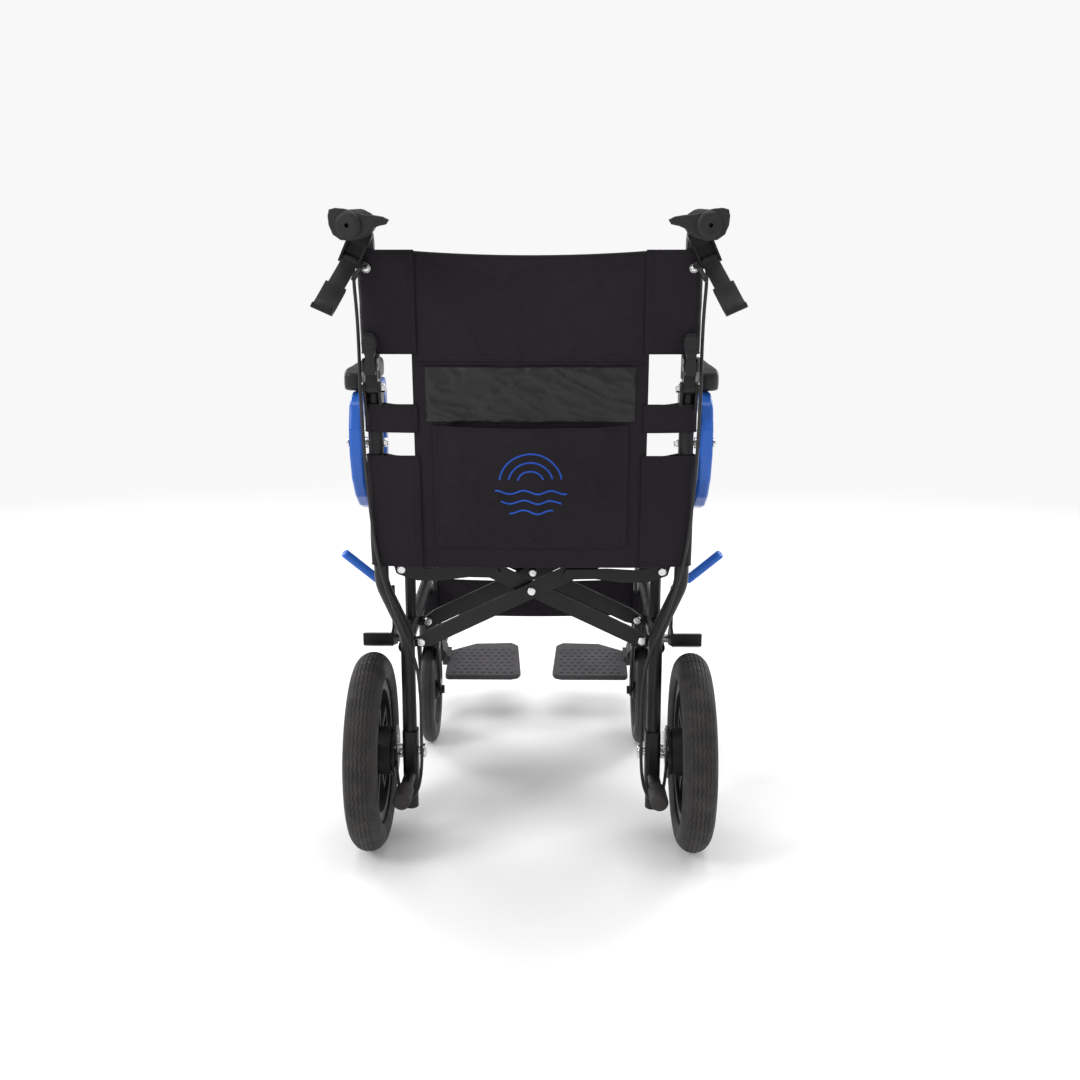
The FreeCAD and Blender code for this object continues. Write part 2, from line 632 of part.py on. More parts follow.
def lock_latch():
    """The small parking latch on the same pin, beside the brake lever."""
    arm = ribbon([LEVER_PIVOT, (24, 32), (42, 46)], LATCH_WIDTH, 5, LATCH_SHIFT)
    shape = fuse([arm, on_lever_pin(LATCH_WIDTH, LEVER_PIN_R + 2.5, LATCH_SHIFT)])
    return shape.cut(on_lever_pin(LATCH_WIDTH + 10, LEVER_PIN_R + RUNNING, LATCH_SHIFT))


def armrest_frame():
    """The blue D-shaped loop of flat-oval tube."""
    outer = [(-16, 718), (14, 704), (27, 668), (26, 628), (12, 590), (-14, 560), (-46, 540),
             (-80, 530), (-240, 530), (-256, 545), (-262, 600), (-262, 690), (-250, 718)]
    inner = [(-22, 690), (-8, 684), (-2, 664), (-2, 632), (-12, 604), (-32, 580), (-58, 564),
             (-86, 558), (-222, 558), (-232, 566), (-236, 604), (-236, 678), (-228, 690)]
    loop = side_plate(outer, ARMREST_X - 10, ARMREST_X + 10)
    loop = rounded(loop, ARMREST_CORNER, lies_along(0))
    hollow = side_plate(inner, ARMREST_X - 20, ARMREST_X + 20)
    hollow = rounded(hollow, ARMREST_HOLLOW_CORNER, lies_along(0))
    loop = loop.cut(hollow)
    loop = loop.makeFillet(ARMREST_EDGE, [e for e in loop.Edges if not lies_along(0)(e)])
    y, z = ARMREST_PIVOT
    loop = loop.cut(x_hole(ARMREST_X - 20, ARMREST_X + 20, y, z))
    return loop


def armrest_pad():
    pad = block((PAD_X[0], PAD_Y[0], PAD_Z[0]), (PAD_X[1], PAD_Y[1], PAD_Z[1]))
    return pad.makeFillet(9, [e for e in pad.Edges if e.CenterOfMass.z > PAD_Z[0] + 5])


def back_cloth(z_low, z_high, y_low, y_high):
    """A flat back panel between the canes, leaning with them."""
    half = CLOTH_THICK / 2
    outline = [(y_low - half, z_low), (y_low + half, z_low)]
    outline += [(y_high + half, z_high), (y_high - half, z_high)]
    return side_plate(outline, -BACK_HALF, BACK_HALF)


def calf_strap():
    return block((-CASTER_X + 18.5, -396, 262), (CASTER_X - 18.5, -392, 330))


# ---- wheel lock, tipping stub and footrest ----
def lock_lever():
    """Plate, shoe and bent handle of the push-to-lock brake."""
    y, z = LOCK_PIVOT
    outline = [(y - 9, z - 6), (y, z - 10), (y + 52, z + 4), (y + 52, z + 24), (y + 34, z + 30),
               (y + 38, z + 90), (y + 30, z + 98), (y + 20, z + 94), (y + 14, z + 30), (y - 9, z + 8)]
    plate = side_plate(outline, 222, 226)
    shoe_outline = [(y + 28, z - 6), (y + 52, z + 4), (y + 52, z + 24), (y + 28, z + 18)]
    shoe = side_plate(shoe_outline, 226, 271)
    handle = bar([(224, y + 28, z + 82), (236, y + 30, z + 98), (292, y + 60, z + 156)], 4.5, 12)
    lever = fuse([plate, shoe, handle])
    return lever.cut(x_hole(215, 240, y, z))


def lock_grip():
    """The blue sleeve on the wheel lock's handle."""
    y, z = LOCK_PIVOT
    low = vec(247.2, y + 36, z + 109.6)
    high = vec(295, y + 61.6, z + 159.1)
    way = (high - low).normalize()
    sleeve = Part.makeCylinder(7, (high - low).Length, low, way)
    sleeve = sleeve.makeFillet(3, [sleeve.Edges[0]])
    hole = rod((236, y + 30, z + 98), (292, y + 60, z + 156), 4.55)
    hole_end = Part.makeSphere(4.55, vec(292, y + 60, z + 156))
    return sleeve.cut(fuse([hole, hole_end]))


def tip_cap():
    """The rubber cap on the tipping stub."""
    cap = rod(on_stub(STUB_END - 22), on_stub(STUB_END + 24), 13.5)
    cap = cap.makeFillet(5, [cap.Edges[0]])
    return cap.cut(rod(on_stub(STUB_END - 30), on_stub(STUB_END + 0.4), STUB_R + RUNNING))


def hanger():
    """The footrest hanger with the pin that it swings on."""
    x = CASTER_X
    tube = [
        (x, HANGER_Y - 27, 408),
        (x, HANGER_Y - 27, 362),
        (x, HANGER_Y - 75, 300),
        (x, HANGER_Y - 150, 108),
        (x, PLATE_Y[0] - 2, 108 + (HANGER_Y - 148 - PLATE_Y[0]) * math.tan(math.radians(PLATE_TILT))),
    ]
    shape = tubes([(tube, 32)])
    pin = rod((x, HANGER_Y, 312), (x, HANGER_Y, 412), 8)
    tie = block((x - 5, HANGER_Y - 18, 342), (x + 5, HANGER_Y, 378))
    return fuse([shape, pin, tie])


def footplate():
    """The moulded plate and the sleeve that it turns on."""
    run = HANGER_Y - 150 - PLATE_Y[1]
    toe = PLATE_Y[0] - HANGER_Y + 150
    outline = [(-16, -run), (-150, -run), (-164, -run - 6), (-168, -run - 18), (-160, toe + 14),
               (-146, toe), (-70, toe + 4), (-16, toe + 40)]
    face = Part.Face(Part.makePolygon([vec(x, y, -24) for x, y in outline + outline[:1]]))
    plate = rounded(face.extrude(vec(0, 0, PLATE_THICK)), PLATE_CORNER, lies_along(2))
    plate = plate.makeFillet(PLATE_EDGE, [e for e in plate.Edges if not lies_along(2)(e)])
    sleeve = rod((0, -25, 0), (0, -70, 0), 15)
    web = block((-22, -70, -22), (-6, -25, -2))
    shape = fuse([plate, sleeve, web]).cut(rod((0, -10, 0), (0, -90, 0), TUBE_R + RUNNING))
    shape.rotate(vec(0, 0, 0), vec(1, 0, 0), -PLATE_TILT)
    shape.translate(vec(CASTER_X, HANGER_Y - 150, 108))
    return shape


# ---- brake cables ----
def cable(points):
    return bar(points, CABLE_R, CABLE_BEND)


# ---- the whole chair ----
left_frame_args = (ARM_A_YS, -ARM_THICK / 2 - 0.5, -22.0)
right_frame_args = (ARM_B_YS, -ARM_THICK / 2 - 0.5, -12.5)
nodes = {
    "left_side_frame": side_frame(*left_frame_args),
    "right_side_frame": mirrored(side_frame(*right_frame_args)),
    "left_frame_bolts": frame_bolts(*left_frame_args),
    "right_frame_bolts": mirrored(frame_bolts(*right_frame_args)),
    "cross_arm_a": cross_arm(ARM_A_YS, -1),
    "cross_arm_b": cross_arm(ARM_B_YS, 1),
    "centre_bolts": centre_bolts(),
    "left_link": link(left_frame_args[2]),
    "right_link": mirrored(link(right_frame_args[2])),
    "back_cloth_upper": back_cloth(HINGE_Z + 3, BACK_TOP, 44, 56),
    "back_cloth_lower": back_cloth(BACK_LOW, HINGE_Z - 3, 18.3, 43.6),
    "calf_strap": calf_strap(),
}
paired = {
    "rear_tyre": tyre,
    "rear_rim": rim,
    "wheel_spokes": wheel_spokes,
    "hub_brake": hub_brake,
    "brake_arm": brake_arm,
    "caster_fork": caster_fork,
    "caster_wheel": caster_wheel,
    "seat_sling": seat_sling,
    "upper_cane": upper_cane,
    "release_paddle": release_paddle,
    "hand_grip": grip,
    "brake_bracket": brake_bracket,
    "brake_lever": brake_lever,
    "lock_latch": lock_latch,
    "armrest_frame": armrest_frame,
    "armrest_pad": armrest_pad,
    "wheel_lock_lever": lock_lever,
    "wheel_lock_grip": lock_grip,
    "tip_cap": tip_cap,
    "footrest_hanger": hanger,
    "footplate": footplate,
}
for name, make in paired.items():
    left = make()
    nodes["left_" + name] = left
    nodes["right_" + name] = mirrored(left)
for name, points in (("brake_cable_upper", UPPER_CABLE), ("brake_cable_lower", LOWER_CABLE)):
    left = cable(points)
    runs = sum((vec(*a) - vec(*b)).Length for a, b in zip(points, points[1:]))
    print(name, "volume over section times runs:", left.Volume / (math.pi * CABLE_R ** 2 * runs))
    nodes["left_" + name] = left
    nodes["right_" + name] = mirrored(left)

low = [1e9, 1e9, 1e9]
high = [-1e9, -1e9, -1e9]
for name, shape in nodes.items():
    moved = shape.copy()
    moved.translate(vec(0, AXLE_Y, 0))
    if not moved.isValid():
        print("not valid:", name)
    moved.exportStep("parts/" + name + ".step")
    box = moved.BoundBox
    low = [min(a, b) for a, b in zip(low, (box.XMin, box.YMin, box.ZMin))]
    high = [max(a, b) for a, b in zip(high, (box.XMax, box.YMax, box.ZMax))]
print(len(nodes), "sub-parts, box", [round(v, 2) for v in low], [round(v, 2) for v in high])
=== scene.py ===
import json
import math

import bpy
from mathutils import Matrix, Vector, noise


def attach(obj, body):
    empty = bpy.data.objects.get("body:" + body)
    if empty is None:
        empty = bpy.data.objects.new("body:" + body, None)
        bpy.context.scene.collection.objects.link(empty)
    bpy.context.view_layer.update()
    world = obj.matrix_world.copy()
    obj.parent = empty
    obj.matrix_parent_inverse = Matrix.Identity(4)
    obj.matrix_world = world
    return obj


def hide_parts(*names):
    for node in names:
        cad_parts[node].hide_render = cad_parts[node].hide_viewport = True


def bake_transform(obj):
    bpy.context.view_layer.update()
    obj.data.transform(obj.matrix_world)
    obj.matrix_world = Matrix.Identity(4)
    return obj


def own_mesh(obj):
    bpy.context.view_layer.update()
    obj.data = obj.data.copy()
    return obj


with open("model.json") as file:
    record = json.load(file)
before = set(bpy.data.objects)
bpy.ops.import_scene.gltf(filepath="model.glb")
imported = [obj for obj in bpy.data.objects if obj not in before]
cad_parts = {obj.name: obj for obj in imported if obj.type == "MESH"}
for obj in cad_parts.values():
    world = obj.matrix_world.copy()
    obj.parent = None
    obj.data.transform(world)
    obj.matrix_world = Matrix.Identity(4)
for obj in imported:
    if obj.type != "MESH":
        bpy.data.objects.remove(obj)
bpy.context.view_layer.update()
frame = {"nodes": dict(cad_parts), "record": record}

AXLE_Y = 265.0     # the drawings below are in millimetres from the rear axle


def at(x, y, z):
    """A point drawn in millimetres from the rear axle, in the row frame's metres."""
    return Vector((x / 1000, (y + AXLE_Y) / 1000, z / 1000))


# ---- camera and stage ----
camera_data = bpy.data.cameras.new("camera")
camera_data.lens = 41.43
camera_data.sensor_width = 36
camera = bpy.data.objects.new("camera", camera_data)
bpy.context.scene.collection.objects.link(camera)
camera.location = (-0.0337, 2.095, 0.928)
look = Vector((0.01087, -0.9733, -0.2295))
camera.rotation_euler = look.to_track_quat("-Z", "Y").to_euler()
bpy.context.scene.camera = camera


def area_light(name, place, target, size, power):
    data = bpy.data.lights.new(name, "AREA")
    data.shape = "RECTANGLE"
    data.size = size[0]
    data.size_y = size[1]
    data.energy = power
    lamp = bpy.data.objects.new(name, data)
    bpy.context.scene.collection.objects.link(lamp)
    lamp.location = place
    lamp.rotation_euler = (Vector(target) - Vector(place)).to_track_quat("-Z", "Y").to_euler()


area_light("key", (2.3, 2.1, 2.2), (0, 0.2, 0.5), (1.1, 1.1), 46)
area_light("fill", (-2.4, 2.0, 1.2), (0, 0.2, 0.5), (1.6, 1.6), 9)
area_light("top", (0.0, 0.0, 3.0), (0, 0.1, 0), (2.6, 2.6), 46)
area_light("rim_left", (2.2, -1.8, 1.5), (0, 0, 0.5), (1.0, 1.8), 38)
area_light("rim_right", (-2.2, -1.8, 1.5), (0, 0, 0.5), (1.0, 1.8), 38)

# how bright the backdrop is to the camera, to diffuse light and to reflections
SEEN_BY_CAMERA = 0.94
SEEN_BY_DIFFUSE = 0.72
SEEN_BY_OTHERS = 0.30

world = bpy.data.worlds.new("studio")
bpy.context.scene.world = world
world.use_nodes = True
backdrop = world.node_tree.nodes["Background"]
backdrop.inputs[0].default_value = (1, 1, 1, 1)
seen = world.node_tree.nodes.new("ShaderNodeLightPath")
strength = world.node_tree.nodes.new("ShaderNodeMath")
strength.operation = "MULTIPLY_ADD"
strength.inputs[1].default_value = SEEN_BY_CAMERA - SEEN_BY_OTHERS
diffuse = world.node_tree.nodes.new("ShaderNodeMath")
diffuse.operation = "MULTIPLY_ADD"
diffuse.inputs[1].default_value = SEEN_BY_DIFFUSE - SEEN_BY_OTHERS
diffuse.inputs[2].default_value = SEEN_BY_OTHERS
world.node_tree.links.new(seen.outputs["Is Diffuse Ray"], diffuse.inputs[0])
world.node_tree.links.new(seen.outputs["Is Camera Ray"], strength.inputs[0])
world.node_tree.links.new(diffuse.outputs[0], strength.inputs[2])
world.node_tree.links.new(strength.outputs[0], backdrop.inputs[1])
bpy.context.scene.view_settings.view_transform = "Standard"


# ---- materials ----
class Shader:
    """A node material under construction."""

    def __init__(self, name):
        self.material = bpy.data.materials.new(name)
        self.material.use_nodes = True
        self.tree = self.material.node_tree
        self.surface = self.tree.nodes["Principled BSDF"]
        self.place = self.add("ShaderNodeTexCoord").outputs["Object"]
        self.bump_from = None
        self.rounding = None

    def add(self, kind, **values):
        node = self.tree.nodes.new(kind)
        for key, value in values.items():
            setattr(node, key, value)
        return node

    def link(self, source, target):
        self.tree.links.new(source, target)

    def noise(self, scale, detail=3.0, roughness=0.5, stretch=None):
        node = self.add("ShaderNodeTexNoise")
        node.inputs["Scale"].default_value = scale
        node.inputs["Detail"].default_value = detail
        node.inputs["Roughness"].default_value = roughness
        place = self.place
        if stretch:
            mapping = self.add("ShaderNodeMapping")
            mapping.inputs["Scale"].default_value = stretch
            self.link(place, mapping.inputs["Vector"])
            place = mapping.outputs["Vector"]
        self.link(place, node.inputs["Vector"])
        return node.outputs["Fac"]

    def wave(self, scale, axis):
        node = self.add("ShaderNodeTexWave", bands_direction=axis)
        node.inputs["Scale"].default_value = scale
        self.link(self.place, node.inputs["Vector"])
        return node.outputs["Fac"]

    def math(self, operation, a, b):
        node = self.add("ShaderNodeMath", operation=operation)
        for socket, value in zip(node.inputs, (a, b)):
            if isinstance(value, (int, float)):
                socket.default_value = value
            else:
                self.link(value, socket)
        return node.outputs[0]

    def spread(self, source, low, high, out_low=0.0, out_high=1.0):
        node = self.add("ShaderNodeMapRange")
        names = ("From Min", "From Max", "To Min", "To Max")
        for key, value in zip(names, (low, high, out_low, out_high)):
            node.inputs[key].default_value = value
        self.link(source, node.inputs["Value"])
        return node.outputs[0]

    def mix(self, share, dark, light):
        node = self.add("ShaderNodeMix", data_type="RGBA")
        if isinstance(share, (int, float)):
            node.inputs[0].default_value = share
        else:
            self.link(share, node.inputs[0])
        for socket, value in ((node.inputs[6], dark), (node.inputs[7], light)):
            if isinstance(value, tuple):
                socket.default_value = (*value, 1)
            else:
                self.link(value, socket)
        return node.outputs[2]

    def colour(self, source):
        self.link(source, self.surface.inputs["Base Color"])

    def rough(self, source):
        self.link(source, self.surface.inputs["Roughness"])

    def bump(self, height, strength, distance):
        node = self.add("ShaderNodeBump")
        node.inputs["Strength"].default_value = strength
        node.inputs["Distance"].default_value = distance
        self.link(height, node.inputs["Height"])
        if self.bump_from is not None:
            self.link(self.bump_from, node.inputs["Normal"])
        self.bump_from = node.outputs["Normal"]
        self.link(self.bump_from, self.surface.inputs["Normal"])

    def round_edges(self, radius):
        """Softens the shading of sharp edges, as a real part's edges are never sharp."""
        bevel = self.add("ShaderNodeBevel", samples=4)
        bevel.inputs["Radius"].default_value = radius
        self.rounding = bevel.outputs["Normal"]
        self.bump_from = self.rounding
        self.link(self.rounding, self.surface.inputs["Normal"])

    def edges(self):
        """1 on edges and 0 on flat faces."""
        geometry = self.add("ShaderNodeNewGeometry")
        dot = self.add("ShaderNodeVectorMath", operation="DOT_PRODUCT")
        self.link(geometry.outputs["Normal"], dot.inputs[0])
        self.link(self.rounding, dot.inputs[1])
        return self.spread(dot.outputs["Value"], 0.995, 0.86)

    def facing_up(self):
        geometry = self.add("ShaderNodeNewGeometry")
        split = self.add("ShaderNodeSeparateXYZ")
        self.link(geometry.outputs["Normal"], split.inputs[0])
        return self.spread(split.outputs["Z"], 0.2, 1.0)


def painted(name, dark, light, edge_wear_and_highlight_colour, low, high, coat):
    """Powder coat: orange peel, cloudy gloss, edges lightened both as rubbed paint and as a painted
    highlight, and a little dust on top.
    """
    s = Shader(name)
    s.round_edges(0.0011)
    base = s.mix(s.noise(9, 4), dark, light)
    # lighter edges: partly rubbed paint, partly a painted highlight where light catches the rounded edges
    scuffs_and_edge_highlight = s.math("MULTIPLY", s.edges(), s.spread(s.noise(140, 5), 0.42, 0.62))
    base = s.mix(s.math("MULTIPLY", scuffs_and_edge_highlight, 0.45), base, edge_wear_and_highlight_colour)
    dust = s.math("MULTIPLY", s.facing_up(), s.spread(s.noise(60, 6), 0.5, 0.8, 0, 0.035))
    s.colour(s.mix(dust, base, (0.30, 0.29, 0.27)))
    s.rough(s.spread(s.noise(26, 4), 0.3, 0.7, low, high))
    s.surface.inputs["Coat Weight"].default_value = coat
    s.surface.inputs["Specular IOR Level"].default_value = 0.24
    s.surface.inputs["Coat Roughness"].default_value = 0.18
    s.bump(s.noise(850, 2), 0.10, 0.0006)
    return s.material


def plated(name):
    """Chrome plate with fine polishing lines and a few dull spots."""
    s = Shader(name)
    s.round_edges(0.0006)
    s.surface.inputs["Metallic"].default_value = 1
    s.colour(s.mix(s.noise(70, 4), (0.62, 0.62, 0.63), (0.83, 0.83, 0.82)))
    s.rough(s.spread(s.noise(190, 5), 0.35, 0.7, 0.13, 0.34))
    s.bump(s.noise(600, 3, stretch=(1, 1, 6)), 0.08, 0.0004)
    return s.material


def rubber(name, dark, light, low, high, dusty, grain, depth):
    """Rubber: fine moulded grain, dusty bloom and uneven gloss."""
    s = Shader(name)
    base = s.mix(s.noise(14, 5), dark, light)
    bloom = s.spread(s.noise(45, 6, 0.6), 0.42, 0.75, 0, dusty)
    s.colour(s.mix(bloom, base, (0.16, 0.135, 0.120)))
    s.rough(s.spread(s.noise(30, 4), 0.3, 0.7, low, high))
    s.bump(s.noise(grain, 3), depth, 0.0006)
    s.surface.inputs["Specular IOR Level"].default_value = 0.35
    return s.material


def moulded(name, dark, light, low, high, grain=900, depth=0.25):
    """Moulded plastic with spark-eroded grain, and light edge wear that is also a painted highlight on the
    edges.
    """
    s = Shader(name)
    s.round_edges(0.0014)
    base = s.mix(s.noise(18, 4), dark, light)
    # lighter edges: partly worn plastic, partly a painted highlight where light catches the rounded edges
    wear_and_edge_highlight = s.math("MULTIPLY", s.edges(), s.spread(s.noise(160, 5), 0.4, 0.7, 0, 0.35))
    s.colour(s.mix(wear_and_edge_highlight, base, tuple(min(1, c * 3 + 0.02) for c in light)))
    s.rough(s.spread(s.noise(34, 4), 0.3, 0.7, low, high))
    s.surface.inputs["Specular IOR Level"].default_value = 0.30
    s.bump(s.noise(grain, 2), depth, 0.0005)
    return s.material


def woven(name, dark, light, low, high, pitch, depth, creases=0.5, specular=0.14):
    """Woven nylon: crossing threads, rubbed highlights, lint and small creases."""
    s = Shader(name)
    warp = s.wave(pitch, "X")
    weft = s.wave(pitch, "Z")
    depthwise = s.wave(pitch, "Y")
    threads = s.math("MAXIMUM", s.math("MULTIPLY", warp, weft), s.math("MULTIPLY", depthwise, warp))
    lint = s.spread(s.noise(320, 6, 0.7), 0.60, 0.74, 0, 0.25)
    base = s.mix(s.noise(6, 5, 0.6), dark, light)
    base = s.mix(s.math("MULTIPLY", threads, 0.35), base, light)
    s.colour(s.mix(lint, base, tuple(c * 2.2 for c in light)))
    s.rough(s.spread(s.noise(12, 5), 0.3, 0.7, low, high))
    s.surface.inputs["Sheen Weight"].default_value = 0.03
    s.surface.inputs["Sheen Roughness"].default_value = 0.5
    s.surface.inputs["Specular IOR Level"].default_value = specular
    s.bump(threads, depth, 0.0004)
    s.bump(s.noise(28, 5, 0.55, stretch=(1, 1, 0.55)), creases, 0.0016)
    return s.material


# the third colour of each paint lightens its edges: rubbed paint and painted highlight
PAINT = painted("black_powder_coat", (0.004, 0.004, 0.0045), (0.011, 0.011, 0.012), (0.10, 0.10, 0.10),
                0.30, 0.48, 0.10)
BLUE = painted("blue_powder_coat", (0.012, 0.075, 0.36), (0.025, 0.125, 0.50), (0.20, 0.33, 0.62),
               0.26, 0.42, 0.25)
CHROME = plated("chrome_plate")
TYRE = rubber("tyre_rubber", (0.011, 0.0105, 0.0105), (0.026, 0.024, 0.023), 0.55, 0.78, 0.13, 420, 0.35)
CASTER = rubber("caster_rubber", (0.012, 0.012, 0.012), (0.028, 0.027, 0.026), 0.45, 0.70, 0.08, 500, 0.30)
GRIP = rubber("grip_rubber", (0.007, 0.007, 0.008), (0.016, 0.016, 0.017), 0.42, 0.62, 0.04, 700, 0.45)
PLASTIC = moulded("black_plastic", (0.007, 0.007, 0.008), (0.020, 0.020, 0.022), 0.34, 0.52)
RIM = moulded("rim_plastic", (0.006, 0.006, 0.007), (0.014, 0.014, 0.016), 0.30, 0.48, 700, 0.20)
GREY = moulded("footplate_plastic", (0.042, 0.039, 0.042), (0.078, 0.074, 0.080), 0.50, 0.68, 600, 0.40)
VINYL = moulded("blue_vinyl", (0.010, 0.085, 0.42), (0.030, 0.150, 0.60), 0.30, 0.48, 500, 0.20)
PAD = moulded("pad_skin", (0.009, 0.009, 0.010), (0.026, 0.026, 0.028), 0.34, 0.52, 380, 0.55)
SHEATH = rubber("cable_sheath", (0.008, 0.008, 0.009), (0.020, 0.019, 0.019), 0.34, 0.50, 0.03, 900, 0.2)
NYLON = woven("black_nylon", (0.0045, 0.0035, 0.0052), (0.017, 0.013, 0.018), 0.52, 0.74, 620, 0.45)
BAND = woven("coated_nylon", (0.005, 0.0046, 0.0055), (0.015, 0.014, 0.0155), 0.34, 0.50, 620, 0.22,
             0.9, 0.34)
THREAD = woven("black_thread", (0.010, 0.009, 0.011), (0.034, 0.030, 0.035), 0.45, 0.6, 1500, 0.4, 0.1)
BLUE_THREAD = woven("blue_thread", (0.010, 0.045, 0.30), (0.035, 0.13, 0.62), 0.35, 0.5, 1500, 0.4, 0.1)

FINISH = {
    "black_frame_paint": PAINT,
    "chrome": CHROME,
    "tyre_rubber": TYRE,
    "caster_rubber": CASTER,
    "grip_rubber": GRIP,
    "black_plastic": PLASTIC,
    "grey_plastic": GREY,
    "blue_paint": BLUE,
    "blue_vinyl": VINYL,
    "pad_skin": PAD,
    "black_nylon": NYLON,
    "cable_sheath": SHEATH,
}
for row in frame["record"]["subparts"]:
    node = frame["nodes"][row["node"]]
    node.data.materials.clear()
    node.data.materials.append(FINISH[row["material_slot"]])
for side in ("left", "right"):
    frame["nodes"][side + "_rear_rim"].data.materials[0] = RIM


# ---- mesh helpers ----
def new_piece(name, verts, faces, material):
    """A mesh from points drawn in millimetres."""
    mesh = bpy.data.meshes.new(name)
    mesh.from_pydata([at(*v) for v in verts], [], faces)
    mesh.materials.append(material)
    mesh.update()
    piece = bpy.data.objects.new(name, mesh)
    bpy.context.scene.collection.objects.link(piece)
    mesh.shade_smooth()
    return piece


def place_on(piece, body):
    """Makes a piece move with a body."""
    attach(piece, body)


def bake(piece):
    """Replaces the mesh by what its modifiers make of it."""
    shaped = piece.evaluated_get(bpy.context.evaluated_depsgraph_get())
    mesh = bpy.data.meshes.new_from_object(shaped)
    piece.modifiers.clear()
    piece.data = mesh
    return piece


def steps(low, high, spacing):
    """Evenly spaced numbers from low to high, about that far apart."""
    count = max(1, round(abs(high - low) / spacing))
    return [low + (high - low) * i / count for i in range(count + 1)]


def skin(name, us, vs, point, material, thick, closed=False):
    """A grid of point(u, v) given a thickness in millimetres, its rim edges shaded sharp."""
    verts = [point(u, v) for v in vs for u in us]
    wide = len(us)
    faces = []
    for row in range(len(vs) - 1):
        for i in range(wide if closed else wide - 1):
            j = (i + 1) % wide
            faces.append((row * wide + i, row * wide + j, (row + 1) * wide + j, (row + 1) * wide + i))
    piece = new_piece(name, verts, faces, material)
    solid = piece.modifiers.new("thickness", "SOLIDIFY")
    solid.thickness = thick / 1000
    solid.offset = 0
    solid.use_even_offset = False
    bake(piece)
    piece.data.set_sharp_from_angle(angle=math.radians(48))
    return piece


def tube(name, points, radius, material, sides=12, ends=True):
    """A round cord or wire along points, closed at its ends."""
    verts = []
    faces = []
    line = [Vector(p) for p in points]
    across = Vector((0, 0, 1))
    for i, p in enumerate(line):
        way = (line[min(i + 1, len(line) - 1)] - line[max(i - 1, 0)]).normalized()
        if i == 0 and abs(way.z) > 0.9:
            across = Vector((0, 1, 0))
        side = (across - way * across.dot(way)).normalized()
        other = way.cross(side)
        across = side
        size = radius(i / (len(line) - 1)) if callable(radius) else radius
        for k in range(sides):
            turn = 2 * math.pi * k / sides
            verts.append(tuple(p + side * (size * math.cos(turn)) + other * (size * math.sin(turn))))
        if i:
            for k in range(sides):
                n = (k + 1) % sides
                faces.append(((i - 1) * sides + k, (i - 1) * sides + n, i * sides + n, i * sides + k))
    if ends:
        faces.append(tuple(range(sides - 1, -1, -1)))
        faces.append(tuple(range((len(line) - 1) * sides, len(line) * sides)))
    return new_piece(name, verts, faces, material)


def along(points, spacing):
    """Points at an even spacing along a line of points, with the direction there."""
    line = [Vector(p) for p in points]
    found = []
    carry = 0.0
    for a, b in zip(line, line[1:]):
        length = (b - a).length
        if length < 1e-9:
            continue
        way = (b - a) / length
        reach = carry
        while reach < length:
            found.append((a + way * reach, way))
            reach += spacing
        carry = reach - length
    return found


def stitches(name, lines, material, out, spacing=4.4, length=3.1, radius=0.42):
    """Short raised threads along each line. out is the way that the cloth faces."""
    verts = []
    faces = []
    out = Vector(out).normalized()
    for line in lines:
        for middle, way in along(line, spacing):
            side = way.cross(out).normalized()
            rings = ((-0.5, 0.35), (-0.32, 0.95), (0.0, 1.1), (0.32, 0.95), (0.5, 0.35))
            first = len(verts)
            for share, size in rings:
                place = middle + way * (share * length)
                lift = -0.35 if abs(share) == 0.5 else 0.25
                for k in range(5):
                    turn = 2 * math.pi * k / 5
                    spot = place + side * (radius * size * math.cos(turn))
                    spot += out * (radius * (size * math.sin(turn) + lift))
                    verts.append(tuple(spot))
            for ring in range(len(rings) - 1):
                for k in range(5):
                    n = (k + 1) % 5
                    a = first + ring * 5
                    faces.append((a + k, a + n, a + 5 + n, a + 5 + k))
            faces.append(tuple(first + k for k in range(4, -1, -1)))
            last = first + (len(rings) - 1) * 5
            faces.append(tuple(last + k for k in range(5)))
    return new_piece(name, verts, faces, material)


def smooth(share):
    """0 below 0, 1 above 1, and an easy curve between them."""
    share = min(1.0, max(0.0, share))
    return share * share * (3 - 2 * share)


def ripple(x, z, seed, across, down):
    """Smooth noise in -1..1 with its own spacing each way, in millimetres."""
    return noise.noise(Vector((x / across, z / down, seed)))


# ---- back upholstery ----
HINGE = (44.0, 731.0)
SEAM_X = 165.0
BACK_LOW = 460.0
CANE_X = 227.0


def back_y(z):
    """The plane of the back cloth: it leans back and meets the hinge's axis."""
    if z < HINGE[1]:
        return 18 + (z - BACK_LOW) / (HINGE[1] - BACK_LOW) * (HINGE[0] - 18)
    return HINGE[0] + (z - HINGE[1]) / 183 * 12


def cane_y(z):
    return max(0, (z - 428) * 0.1007) if z < HINGE[1] else 30 + (z - HINGE[1]) * 0.139


def back_top(x):
    return 915 + 6 * (x / SEAM_X) ** 2


def back_surface(x, z):
    """The rear face of the cloth between the canes: slack, with soft drag lines."""
    inside = 1 - min(1.0, abs(x) / SEAM_X) ** 4
    y = back_y(z) + 2.0
    y += 4.0 * (1 - (x / SEAM_X) ** 2) * smooth((z - 440) / 120)
    low = smooth((z - BACK_LOW) / 40)
    y += inside * low * 3.0 * ripple(x + 0.55 * z, z - 0.3 * x, 3.1, 96, 210)
    y += inside * low * 1.8 * ripple(x - 0.8 * z, z, 7.7, 38, 120)
    crease = 1 - abs(ripple(x * 0.8 + 0.9 * z, z - 0.7 * x, 12.3, 90, 50))
    y += inside * low * 2.0 * smooth((crease - 0.80) / 0.20)
    pull = 1 - abs(ripple(x * 0.5, z + 0.35 * abs(x), 17.9, 120, 30))
    y += inside * low * 1.0 * smooth((pull - 0.78) / 0.22)
    y += 0.35 * ripple(x, z, 20.2, 13, 17)
    return y


FINE = 2.6      # the cloth's grid
PANEL_THICK = 3.2


